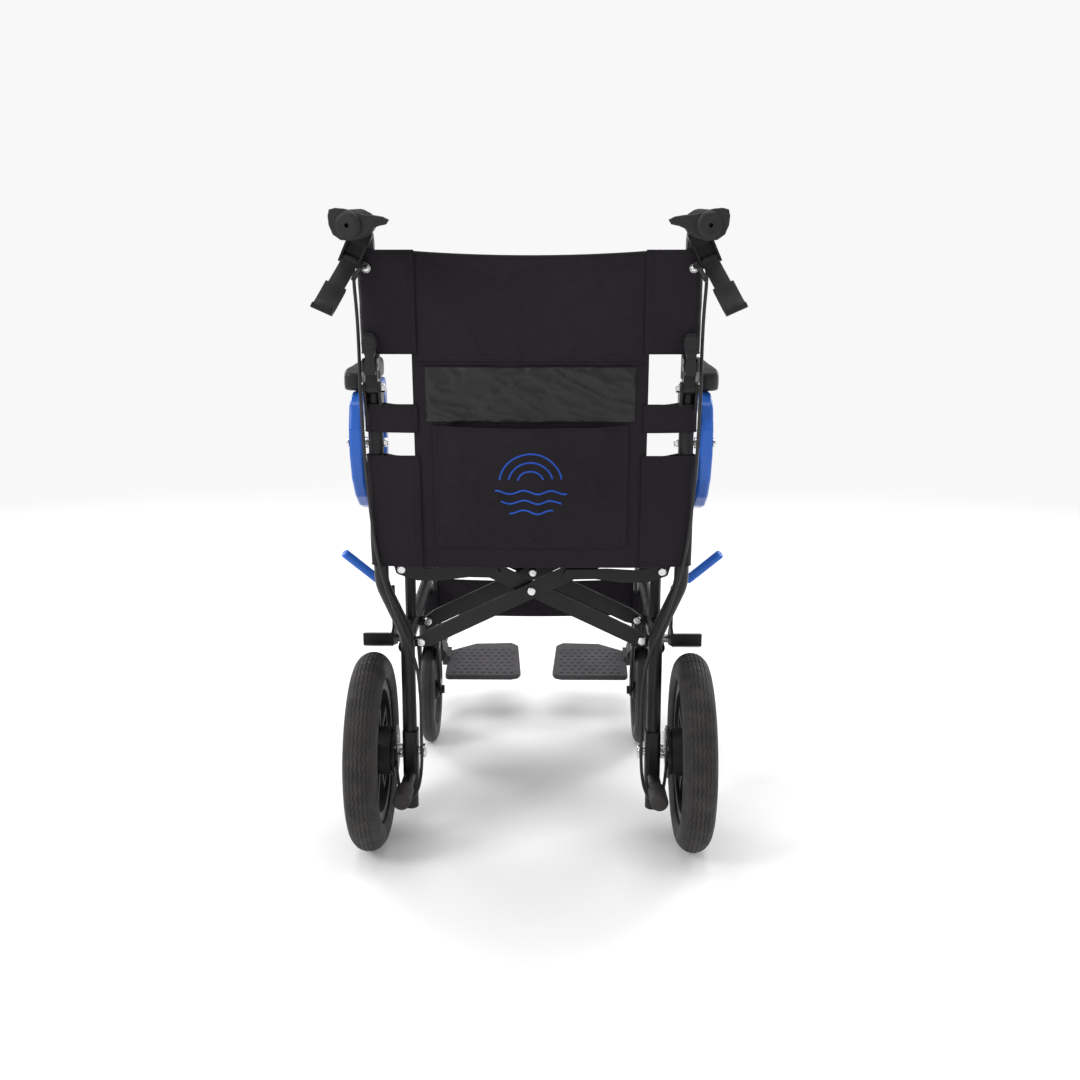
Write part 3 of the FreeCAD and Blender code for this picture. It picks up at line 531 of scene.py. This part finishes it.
def back_panel(name, low, high):
    """Part of the centre panel, from z low to z high (high None is the curved top edge)."""
    us = steps(-SEAM_X - 4, SEAM_X + 4, FINE)
    shares = steps(0, 1, FINE / ((high or back_top(0)) - low))

    def point(x, share):
        top = high if high is not None else back_top(x)
        z = low + (top - low) * share
        return x, back_surface(x, z) - PANEL_THICK / 2, z

    return skin(name, us, shares, point, NYLON, PANEL_THICK)


def on_back(piece, body):
    """Puts a piece of the back on its body, with a mesh of its own."""
    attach(piece, body)
    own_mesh(piece)
    return piece


upper = back_panel("back_panel_upper", HINGE[1], None)
lower = back_panel("back_panel_lower", BACK_LOW, HINGE[1])
on_back(upper, "left_back")
on_back(lower, "left_frame")
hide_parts("back_cloth_upper")
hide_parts("back_cloth_lower")


def edge_line(z_of, lift, half):
    """A line across the back at the height z_of(x), lifted off the cloth's rear face."""
    return [(x, back_surface(x, z_of(x)) + lift, z_of(x)) for x in steps(-half, half, 3.0)]


def wrinkled_band(x, z):
    """The coated band above the pocket, pulled into small creases."""
    lift = 2.4 + 1.6 * ripple(x - 0.6 * z, z, 31.0, 34, 26)
    fold = 1 - abs(ripple(x * 0.7 + z, z - 0.5 * x, 44.0, 58, 22))
    lift += 2.6 * max(0.0, fold - 0.80) / 0.20
    return lift * smooth((151 - abs(x)) / 6) * smooth((z - 680) / 5) * smooth((763 - z) / 5)


def band(name, low, high):
    us = steps(-150.5, 150.5, FINE)
    vs = steps(low, high, FINE)

    def point(x, z):
        return x, back_surface(x, z) + wrinkled_band(x, z) + 0.5, z

    return skin(name, us, vs, point, BAND, 1.4)


on_back(band("pocket_band_upper", HINGE[1], 761), "left_back")
on_back(band("pocket_band_lower", 683, HINGE[1]), "left_frame")



def at_height(z):
    return lambda x: z


PIPING_Z = 766.5
edge = edge_line(lambda x: back_top(x) - 0.5, -PANEL_THICK / 2, SEAM_X + 2)
on_back(tube("back_top_hem", edge, 2.5, NYLON, 10), "left_back")
on_back(tube("band_piping", edge_line(at_height(PIPING_Z), 0.6, 161), 1.7, NYLON, 10), "left_back")
edge = edge_line(at_height(BACK_LOW + 0.5), -PANEL_THICK / 2, SEAM_X + 2)
on_back(tube("back_low_hem", edge, 2.5, NYLON, 10), "left_frame")
rows = [edge_line(lambda x, inset=inset: back_top(x) - inset, 0.1, SEAM_X) for inset in (13, 17)]
rows += [edge_line(at_height(PIPING_Z + rise), 0.1, 160) for rise in (4.5, 8.5)]
on_back(stitches("back_stitches_upper", rows, THREAD, (0, 1, 0)), "left_back")
rows = [edge_line(at_height(BACK_LOW + rise), 0.1, SEAM_X) for rise in (14, 18)]
on_back(stitches("back_stitches_lower", rows, THREAD, (0, 1, 0)), "left_frame")

# ---- the pocket ----
POCKET_HALF = 142.0
POCKET_LOW = 491.0
POCKET_TOP = 676.0


def pocket_lift(x, z):
    """How far the pocket stands off the panel: open at the top, flat at its sewn edges."""
    side = smooth((POCKET_HALF - 9 - abs(x)) / 34)
    foot = smooth((z - POCKET_LOW - 9) / 46)
    mouth = smooth((z - 600) / 76)
    lift = 1.6 + side * foot * (2.2 + 5.5 * mouth)
    lift += side * foot * 2.8 * (0.6 + ripple(x + 0.9 * z, z - 0.5 * x, 51.0, 66, 130))
    drag = 1 - abs(ripple(0.7 * x - 0.8 * z, z + 0.4 * x, 63.0, 88, 60))
    lift += side * foot * 3.4 * max(0.0, drag - 0.82) / 0.18
    return lift


def on_pocket(x, z, lift=0.0):
    return x, back_surface(x, z) + pocket_lift(x, z) + lift, z


def pocket_top(x):
    return POCKET_TOP - 3.5 * (1 - (x / POCKET_HALF) ** 2)


def pocket_point(x, share):
    z = POCKET_LOW + (pocket_top(x) - POCKET_LOW) * share
    return on_pocket(x, z)


shares = steps(0, 1, FINE / (POCKET_TOP - POCKET_LOW))
pocket = skin("pocket", steps(-POCKET_HALF, POCKET_HALF, FINE), shares, pocket_point, NYLON, 1.4)
on_back(pocket, "left_frame")
hem = [on_pocket(x, pocket_top(x), 0.2) for x in steps(-POCKET_HALF + 1, POCKET_HALF - 1, 3)]
on_back(tube("pocket_hem", hem, 1.6, NYLON, 10), "left_frame")


def pocket_row(inset):
    """A line of stitches round the pocket's sides and foot, that far in from its edge."""
    side = POCKET_HALF - inset
    foot = POCKET_LOW + inset
    line = [on_pocket(-side, z, 0.75) for z in steps(POCKET_TOP - 6, foot + 5, 4)]
    line += [on_pocket(x, foot, 0.75) for x in steps(-side + 5, side - 5, 4)]
    line += [on_pocket(side, z, 0.75) for z in steps(foot + 5, POCKET_TOP - 6, 4)]
    return line


rows = [pocket_row(3.5), pocket_row(9.5)]
rows += [[on_pocket(x, pocket_top(x) - 11, 0.75) for x in steps(-POCKET_HALF + 4, POCKET_HALF - 4, 4)]]
on_back(stitches("pocket_stitches", rows, THREAD, (0, 1, 0)), "left_frame")

# a plain embroidered motif of open rings over three waves, in place of the chair's mark
MOTIF_SPREAD = (-0.8, 0.0, 0.8)         # each line is three rows of thread
MOTIF_LOW = 590.0                       # the middle that the rings share
motif = []
for radius, low, high in ((20, 20, 160), (33, 14, 166), (46, 10, 170)):
    arc = [math.radians(low + (high - low) * i / 40) for i in range(41)]
    for extra in MOTIF_SPREAD:
        reach = radius + extra
        motif.append([on_pocket(reach * math.cos(t), MOTIF_LOW + reach * math.sin(t), 0.8) for t in arc])
for level, wide in ((578, 52), (563, 44), (548, 32)):
    for extra in MOTIF_SPREAD:
        line = [(x, level + extra + 2.6 * math.sin(x / 6.4)) for x in steps(-wide, wide, 2)]
        motif.append([on_pocket(x, z, 0.8) for x, z in line])
threads = stitches("pocket_motif", motif, BLUE_THREAD, (0, 1, 0), spacing=2.0, length=2.6, radius=0.5)
on_back(threads, "left_frame")


# ---- sleeves round the canes ----
def sleeve_point(sign, inner, z, turn_share):
    """Round the cane and in along both layers to the seam, as one closed loop."""
    radius = 14.0
    middle = (CANE_X, cane_y(z))
    flat_y = back_surface(SEAM_X, z) + 2.6
    reach = CANE_X - inner
    share = turn_share * 4
    if share < 1.5:
        s = share / 1.5
        x = inner + reach * s
        y = flat_y + (middle[1] + radius - flat_y) * smooth(s * 1.15 - 0.15)
    elif share < 2.5:
        angle = math.pi / 2 - (share - 1.5) * math.pi
        x = middle[0] + radius * math.cos(angle)
        y = middle[1] + radius * math.sin(angle)
    else:
        s = (share - 2.5) / 1.5
        x = CANE_X - reach * s
        front = middle[1] - radius
        y = front + (flat_y - 2.4 - front) * smooth(s * 1.7)
    y += 0.8 * ripple(x, z, 71.0 + sign, 26, 42) + 0.5 * ripple(x * 1.5, z, 80.0 + sign, 12, 14)
    x += 0.7 * ripple(y * 2, z, 90.0 + sign, 20, 30) * smooth((x - inner) / 20)
    return sign * x, y, z


def sleeve(name, sign, low, high, body, inner=SEAM_X - 2, thick=1.6):
    shares = [i / 64 for i in range(64)]
    piece = skin(name, shares, steps(low, high, FINE), lambda s, z: sleeve_point(sign, inner, z, s),
                 NYLON, thick, closed=True)
    place_on(piece, body)
    rows = []
    for inset in (3.5, 9.5):
        rows.append([sleeve_row(sign, inner, z, inset) for z in steps(low + 3, high - 3, 4)])
    for z in (low + 6, high - 6):
        rows.append([sleeve_row(sign, inner, z, inset) for inset in steps(3, 58, 4)])
    threads = stitches(name + "_stitches", rows, THREAD, (0, 1, 0))
    place_on(threads, body)
    for edge, z in (("low", low), ("high", high)):
        rim = [sleeve_point(sign, inner, z, i / 64) for i in range(64)]
        roll = tube(name + "_hem_" + edge, rim + rim[:1], 1.5, NYLON, 8, ends=False)
        place_on(roll, body)
    return piece


def sleeve_row(sign, inner, z, inset):
    """A point on the sleeve's rear face, that far out from the seam."""
    reach = CANE_X - inner
    x, y, z = sleeve_point(sign, inner, z, min(1.5, inset / reach * 1.5) / 4)
    return x, y + 1.0, z


SCREW_Z = 899.0
for side, sign in (("left", 1), ("right", -1)):
    sleeve(side + "_sleeve_upper", sign, 781, 923, side + "_back")
    sleeve(side + "_sleeve_middle", sign, 667, 706, side + "_frame", inner=SEAM_X - 1)
    sleeve(side + "_sleeve_lower", sign, 461, 630, side + "_frame")
    x, y, _ = sleeve_point(sign, SEAM_X, SCREW_Z, 1.5 / 4)
    bpy.ops.mesh.primitive_cylinder_add(vertices=28, radius=0.0062, depth=0.0018)
    washer = bpy.context.object
    washer.name = side + "_back_washer"
    washer.data.materials.append(CHROME)
    washer.location = at(x, y + 1.6, SCREW_Z)
    washer.rotation_euler = (math.pi / 2, 0, 0)
    bpy.ops.mesh.primitive_uv_sphere_add(segments=24, ring_count=12, radius=0.0042)
    head = bpy.context.object
    head.name = side + "_back_screw"
    head.data.materials.append(CHROME)
    head.location = at(x, y + 2.4, SCREW_Z)
    head.scale = (1, 0.55, 1)
    head.data.shade_smooth()
    for part in (washer, head):
        place_on(part, side + "_back")


# ---- seat halves ----
SEAT_RAIL = (200.0, 508.5)
SEAT_Y = (-386, -14)
SEAT_THICK = 3.2
SEAT_ANCHOR = 198         # X where each half ends, beside the rail


def seat_surface(x, y):
    """The sling's upper face: it hangs between the rails and is drawn in at its ends."""
    near = abs(x) / SEAT_RAIL[0]
    z = SEAT_RAIL[1] + 13.5 - 15 * (1 - near * near)
    ends = smooth((-18 - y) / 50) * smooth((y + 384) / 50)
    z += 2.5 * (1 - ends) * (1 - near)
    z += (1 - near) * 1.8 * ripple(x + 0.4 * y, y - 0.6 * x, 101.0, 46, 90)
    crease = 1 - abs(ripple(x - 0.3 * y, y, 110.0, 50, 120))
    z += (1 - near) * 1.6 * max(0.0, crease - 0.8) / 0.2
    return z + 0.3 * ripple(x, y, 120.0, 12, 12)


def flat_ride(piece, body, squash=True):
    """Puts a piece of the seat on its cross arm, with a mesh of its own when squash is set."""
    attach(piece, body)
    if squash:
        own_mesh(piece)
    return piece


for side, sign, body in (("left", 1, "cross_arm_b"), ("right", -1, "cross_arm_a")):
    def cloth_point(x, y):
        return sign * x, y, seat_surface(x, y) - SEAT_THICK / 2

    us = steps(0.6, SEAT_ANCHOR, FINE)
    half = skin(side + "_seat_cloth", us, steps(*SEAT_Y, FINE), cloth_point, NYLON, SEAT_THICK)
    if sign < 0:
        half.data.flip_normals()
    flat_ride(half, body)
    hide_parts(side + "_seat_sling")

    def wrap_point(turn, y):
        angle = math.radians(turn)
        x = SEAT_RAIL[0] + 12.6 * math.cos(angle)
        z = SEAT_RAIL[1] + 12.6 * math.sin(angle) + 0.5 * ripple(turn, y, 130.0 + sign, 40, 22)
        return sign * x, y, z

    wrap = skin(side + "_seat_wrap", [100 - i * 10 for i in range(21)], steps(*SEAT_Y, FINE * 1.5),
                wrap_point, NYLON, 1.8)
    flat_ride(wrap, body, squash=False)
    rows = [[(x, y) for y in steps(-382, -18, 4)] for x in (5, 11, 176, 182)]
    rows += [[(x, y) for x in steps(4, 196, 4)] for y in (-378, -372, -22, -28)]
    rows = [[(sign * x, y, seat_surface(x, y) + 0.1) for x, y in row] for row in rows]
    flat_ride(stitches(side + "_seat_stitches", rows, THREAD, (0, 0, 1)), body)
    for end, y in zip(("front", "rear"), SEAT_Y):
        line = [cloth_point(x, y) for x in steps(1, 197, 3)]
        flat_ride(tube(side + "_seat_hem_" + end, line, 2.4, NYLON, 10), body)

# ---- calf strap ----
STRAP_Z = (262.0, 330.0)
STRAP_END = 182.0


def strap_surface(x, z):
    sag = 1 - (x / STRAP_END) ** 2
    middle = (z - 296) / 34
    y = -393.0 + 7.0 * sag * (1 - 0.45 * middle * middle)
    y += 1.6 * sag * ripple(x + 0.4 * z, z - 0.3 * x, 140.0, 52, 30)
    return y


def strap_point(x, share):
    low, high = STRAP_Z
    droop = 3.0 * (1 - (x / STRAP_END) ** 2)
    z = low + (high - low) * share - droop
    return x, strap_surface(x, z), z


shares = steps(0, 1, FINE / (STRAP_Z[1] - STRAP_Z[0]))
strap = skin("calf_strap_cloth", steps(-STRAP_END, STRAP_END, FINE), shares, strap_point, NYLON, 2.0)
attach(strap, "left_frame")
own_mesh(strap)
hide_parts("calf_strap")
rows = []
for share in (0.06, 0.12, 0.88, 0.94):
    line = [strap_point(x, share) for x in steps(-180, 180, 4)]
    rows.append([(x, y + 1.1, z) for x, y, z in line])
threads = stitches("calf_strap_stitches", rows, THREAD, (0, 1, 0))
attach(threads, "left_frame")
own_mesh(threads)
for side, sign in (("left", 1), ("right", -1)):
    def wrap_at(turn, z):
        angle = math.radians(turn)
        swell = 18.4 + 0.5 * ripple(turn, z, 150.0 + sign, 40, 20)
        return sign * (200 + swell * math.cos(angle)), -390 + swell * math.sin(angle), z

    turns = [i * 7.5 for i in range(48)]
    loop = skin(side + "_calf_strap_loop", turns, steps(262, 306, FINE), wrap_at, NYLON, 1.6, closed=True)
    place_on(loop, side + "_frame")


# ---- tyres ----
WHEEL_R = 155.0
TYRE_R = 26.0
WRAP = 2.36               # how far the tread's skin goes round the section, in radians
BEAD_R = 112.3            # the skin ends on the rim
TREAD_HALF = 20.5         # half the width of the moulded pattern
PITCH = 7.5               # length of one zigzag step round the tyre
WHEEL_X = 251.0


def tread(arc, turn):
    """Depth of the moulded pattern in millimetres at that place across and round the tyre."""
    pitch = turn * (WHEEL_R / PITCH)
    zig = abs((pitch % 2) - 1) * 2 - 1
    depth = 0.0
    for groove in (-13.0, -6.5, 0.0, 6.5, 13.0):
        off = abs(arc - groove - 1.15 * zig)
        depth = max(depth, 1.5 * (1 - smooth((off - 0.45) / 0.65)))
    sipe = abs((pitch % 1) - 0.5) * PITCH
    if 9.0 < abs(arc) < 17.5:
        depth = max(depth, 0.8 * (1 - smooth((sipe - 0.3) / 0.5)))
    shoulder = abs(abs(arc) - 19.5)
    depth = max(depth, 0.7 * (1 - smooth((shoulder - 0.4) / 0.8)))
    rib = abs(abs(arc) - 30.0)
    depth -= 0.35 * (1 - smooth((rib - 0.3) / 0.7))
    return depth


def tyre_mesh(name, sign):
    around = 780
    fine_arcs = steps(-TREAD_HALF, TREAD_HALF, 0.62)
    side = TYRE_R * WRAP
    arcs = steps(-side, -TREAD_HALF, 3.0)[:-1] + fine_arcs + steps(TREAD_HALF, side, 3.0)[1:]
    middle = WHEEL_R - TYRE_R
    inner = [arcs[-1], arcs[0]]
    verts = []
    faces = []
    wide = len(arcs) + len(inner)
    for i in range(around):
        turn = 2 * math.pi * i / around
        for k, arc in enumerate(arcs + inner):
            angle = arc / TYRE_R
            section = TYRE_R - 0.15 - tread(arc, turn)
            if k >= len(arcs):
                section = TYRE_R - 5
            out = max(middle + section * math.cos(angle), BEAD_R)
            x = WHEEL_X + section * math.sin(angle)
            verts.append((sign * x, out * math.sin(turn), WHEEL_R + out * math.cos(turn)))
        for k in range(wide):
            n = (k + 1) % wide
            j = (i + 1) % around
            ring = (i * wide + k, i * wide + n, j * wide + n, j * wide + k)
            faces.append(ring if sign > 0 else ring[::-1])
    return new_piece(name, verts, faces, TYRE)


for side, sign in (("left", 1), ("right", -1)):
    body = side + "_rear_wheel"
    cover = tyre_mesh(side + "_tyre_tread", sign)
    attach(cover, body)
    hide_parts(side + "_rear_tyre")
    stem = [(WHEEL_X, 0, WHEEL_R + 97), (WHEEL_X, 0, WHEEL_R + 86), (WHEEL_X + 2, 0, WHEEL_R + 72)]
    valve = tube(side + "_valve", [(sign * x, y, z) for x, y, z in stem], 3.0, CASTER, 14)
    place_on(valve, body)


# ---- hand grips, levers ----
HANDLE_START = Vector((CANE_X, 61.59, 960))
HANDLE_END = Vector((CANE_X + 9, 148, 956))


def on_handle(y):
    """The point of the handle tube's middle line that far behind the axle."""
    share = (y - HANDLE_START.y) / (HANDLE_END.y - HANDLE_START.y)
    return HANDLE_START.lerp(HANDLE_END, share)


def ring_points(middle, way, radius, count=40):
    """A closed circle of points round a line."""
    side = way.cross(Vector((0, 0, 1))).normalized()
    up = side.cross(way)
    turns = [2 * math.pi * i / count for i in range(count + 1)]
    return [middle + side * (radius * math.cos(t)) + up * (radius * math.sin(t)) for t in turns]


def mirrored(points, sign):
    return [(sign * p[0], p[1], p[2]) for p in points]


def joined(name, pieces):
    """Several small pieces made into one."""
    bpy.ops.object.select_all(action="DESELECT")
    for p in pieces:
        p.select_set(True)
    bpy.context.view_layer.objects.active = pieces[0]
    bpy.ops.object.join()
    pieces[0].name = name
    return pieces[0]


LEVER_START = Vector((236, 78, 935))
LEVER_OUT = Vector((0.41, 0, -0.912))
LEVER_ACROSS = LEVER_OUT.cross(Vector((0, 1, 0))).normalized()
HANDLE_WAY = (on_handle(148) - on_handle(86)).normalized()
for side, sign in (("left", 1), ("right", -1)):
    rings = []
    for i in range(13):
        y = 92 + i * 4.2
        ring = mirrored(ring_points(on_handle(y), HANDLE_WAY, 18.9), sign)
        rings.append(tube("ring", ring, 0.85, GRIP, 8, ends=False))
    ribs = joined(side + "_grip_ribs", rings)
    place_on(ribs, side + "_back")
    bars = []
    for i in range(6):
        share = 0.12 + i * 0.15
        a = Vector((0, 56, 88))
        b = Vector((0, 70, 97))
        spot = a + (b - a) * share
        way = (b - a).normalized()
        normal = Vector((0, way.z, -way.y))
        spot += normal * 3.1
        middle = LEVER_START + Vector((0, spot.y, 0)) + LEVER_OUT * spot.z
        line = [middle + LEVER_ACROSS * s for s in (-12, -6, 0, 6, 12)]
        bars.append(tube("rib", mirrored(line, sign), 0.8, PLASTIC, 8))
    ribs = joined(side + "_lever_ribs", bars)
    place_on(ribs, side + "_brake_lever")


# ---- brake cables, one piece across each back hinge ----
CABLE = [(244, 66, 931), (247, 61, 890), (244, 56, 840), (243, 54, 785), (243, 56, 731), (243, 47, 680),
         (242, 38, 620), (238, 30, 550), (233, 24, 490), (221, 21, 430), (199, 24, 370), (175, 24, 310),
         (170, 22, 250), (171, 20, 190), (171, 21, 130), (179, 26, 92), (197, 34, 84), (207.5, 36, 112),
         (209.1, 34, 148)]
for side, sign in (("left", 1), ("right", -1)):
    data = bpy.data.curves.new(side + "_cable_line", "CURVE")
    data.dimensions = "3D"
    spline = data.splines.new("NURBS")
    spline.points.add(len(CABLE) - 1)
    for spot, p in zip(spline.points, CABLE):
        spot.co = (*at(sign * p[0], p[1], p[2]), 1)
    spline.order_u = 3
    spline.use_endpoint_u = True
    spline.resolution_u = 10
    data.bevel_depth = 0.0025
    data.bevel_resolution = 4
    data.use_fill_caps = True
    line = bpy.data.objects.new(side + "_cable_line", data)
    bpy.context.scene.collection.objects.link(line)
    mesh = bpy.data.meshes.new_from_object(line.evaluated_get(bpy.context.evaluated_depsgraph_get()))
    bpy.data.objects.remove(line)
    mesh.materials.clear()
    mesh.materials.append(SHEATH)
    mesh.shade_smooth()
    cable = bpy.data.objects.new(side + "_brake_cable", mesh)
    bpy.context.scene.collection.objects.link(cable)
    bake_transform(cable)
    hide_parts(side + "_brake_cable_upper", side + "_brake_cable_lower")


# ---- armrest pads ----
PAD_X = (246.5, 279.0)
PAD_Y = (-250.0, -4.0)
PAD_Z = (719.0, 754.0)


def pad_mesh(name, sign):
    """Foam pad: a rounded section, fuller in the middle, with rounded ends."""
    half_w = (PAD_X[1] - PAD_X[0]) / 2
    half_h = (PAD_Z[1] - PAD_Z[0]) / 2
    middle_x = (PAD_X[0] + PAD_X[1]) / 2
    middle_z = (PAD_Z[0] + PAD_Z[1]) / 2
    half_l = (PAD_Y[1] - PAD_Y[0]) / 2
    middle_y = (PAD_Y[0] + PAD_Y[1]) / 2
    count = 72
    rows = 70
    verts = []
    faces = []
    for r in range(rows + 1):
        t = math.sin(math.pi / 2 * (2 * r / rows - 1))
        t = max(-0.9999, min(0.9999, t))
        size = (1 - abs(t) ** 14) ** (1 / 3.2)
        y = middle_y + half_l * t
        for k in range(count):
            turn = 2 * math.pi * k / count
            c, s = math.cos(turn), math.sin(turn)
            x = half_w * math.copysign(abs(c) ** (2 / 3.6), c) * size
            z = half_h * math.copysign(abs(s) ** (2 / (3.4 if s > 0 else 7.0)), s)
            z *= size if s > 0 else 0.35 + 0.65 * size
            z += (0.9 * ripple(x * 1.2, y, 160.0 + sign, 30, 60) - 0.5) * (1 if s > 0 else 0)
            crease = 1 - smooth((abs(z + 9.5) - 0.35) / 0.9)
            x *= 1 - 0.045 * crease
            verts.append((sign * (middle_x + x * 0.985), y, middle_z + z * 0.985))
        if r:
            for k in range(count):
                n = (k + 1) % count
                quad = ((r - 1) * count + k, r * count + k, r * count + n, (r - 1) * count + n)
                faces.append(quad if sign > 0 else quad[::-1])
    first = tuple(range(count))
    last = tuple(range(rows * count, (rows + 1) * count))
    faces.append(first if sign > 0 else first[::-1])
    faces.append(last[::-1] if sign > 0 else last)
    return new_piece(name, verts, faces, PAD)


for side, sign in (("left", 1), ("right", -1)):
    pad = pad_mesh(side + "_armrest_foam", sign)
    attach(pad, side + "_armrest")
    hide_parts(side + "_armrest_pad")


# ---- footplate dashes ----
TILT = math.radians(7.4)
for side, sign in (("left", 1), ("right", -1)):
    rows = []
    for i in range(8):
        y = 26 - i * 15.0
        low = 34 + (7 if i % 2 else 0)
        rows.append([(x, y, -12.9) for x in (low, 158 - (4 if i % 2 else 0))])
    turned = []
    for row in rows:
        line = []
        for x, y, z in row:
            yy = y * math.cos(TILT) + z * math.sin(TILT)
            zz = -y * math.sin(TILT) + z * math.cos(TILT)
            line.append((sign * (200 - x), -575 + yy, 108 + zz))
        turned.append(line)
    dashes = stitches(side + "_footplate_dashes", turned, GREY, (0, 0.129, 0.992),
                      spacing=14.5, length=8.5, radius=1.15)
    place_on(dashes, side + "_footplate")


# ---- return springs at the hub brakes ----
COIL_R = 2.9
for side, sign in (("left", 1), ("right", -1)):
    a = Vector((206.3, 31, 168))
    b = Vector((206.3, 27, 199))
    way = (b - a).normalized()
    side_way = way.cross(Vector((1, 0, 0))).normalized()
    coil = []
    for i in range(181):
        t = i / 180
        turn = 2 * math.pi * 11 * t
        round_way = side_way * (COIL_R * math.cos(turn)) + Vector((COIL_R * math.sin(turn), 0, 0))
        coil.append(a + (b - a) * t + round_way)
    line = mirrored([a - way * 6, *coil, b + way * 5], sign)
    spring = tube(side + "_brake_spring", line, 0.55, CHROME, 8)
    place_on(spring, side + "_frame")


# ---- plugs in the open ends of tubes ----
# how far each ring of a plug stands out of the tube, and its radius
PLUG = ((-9.0, 9.2), (-0.2, 9.2), (-0.1, 10.7), (1.0, 10.7), (1.9, 9.6), (2.3, 6.0))


def plug(name, sign, end, way, body, sink=0.0):
    """A moulded plug pushed into a tube's end, with a thin rounded head."""
    way = Vector(way).normalized()
    spots = [Vector(end) + way * (out - sink) for out, _ in PLUG]

    def size_at(share):
        return PLUG[round(share * (len(PLUG) - 1))][1]

    piece = tube(name, mirrored(spots, sign), size_at, PLASTIC, 28)
    piece.data.set_sharp_from_angle(angle=math.radians(40))
    place_on(piece, body)


for side, sign, rail_body in (("left", 1, "cross_arm_b"), ("right", -1, "cross_arm_a")):
    plug(side + "_seat_plug_front", sign, (SEAT_RAIL[0], -392, SEAT_RAIL[1]), (0, -1, 0), rail_body)
    plug(side + "_seat_plug_rear", sign, (SEAT_RAIL[0], -8, SEAT_RAIL[1]), (0, 1, 0), rail_body)
    plug(side + "_hanger_plug", sign, (200, -452, 408), (0, 0, 1), side + "_hanger")
    plug(side + "_footplate_plug", sign, (200, -692, 123.5), (0, -math.cos(TILT), math.sin(TILT)),
         side + "_hanger", sink=2.4)
    plug(side + "_leg_plug", sign, (191, 0, 62), (0, 0, -1), side + "_frame")

# ---- the floor is pale and fades into the backdrop far away ----
bpy.ops.mesh.primitive_plane_add(size=60, location=(0, 0, 0))
floor = bpy.context.object
floor.name = "floor"
shade = Shader("pale_floor")
shade.colour(shade.mix(shade.noise(3, 4), (0.84, 0.84, 0.84), (0.88, 0.88, 0.88)))
shade.rough(shade.spread(shade.noise(8, 3), 0.3, 0.7, 0.6, 0.75))
shade.surface.inputs["Specular IOR Level"].default_value = 0.2
distance = shade.add("ShaderNodeVectorMath", operation="LENGTH")
shade.link(shade.place, distance.inputs[0])
far = shade.add("ShaderNodeEmission")
far.inputs["Color"].default_value = (1, 1, 1, 1)
far.inputs["Strength"].default_value = SEEN_BY_CAMERA
blend = shade.add("ShaderNodeMixShader")
shade.link(shade.spread(distance.outputs["Value"], 1.3, 3.2), blend.inputs[0])
shade.link(shade.surface.outputs[0], blend.inputs[1])
shade.link(far.outputs[0], blend.inputs[2])
shade.link(blend.outputs[0], shade.tree.nodes["Material Output"].inputs["Surface"])
floor.data.materials.append(shade.material)
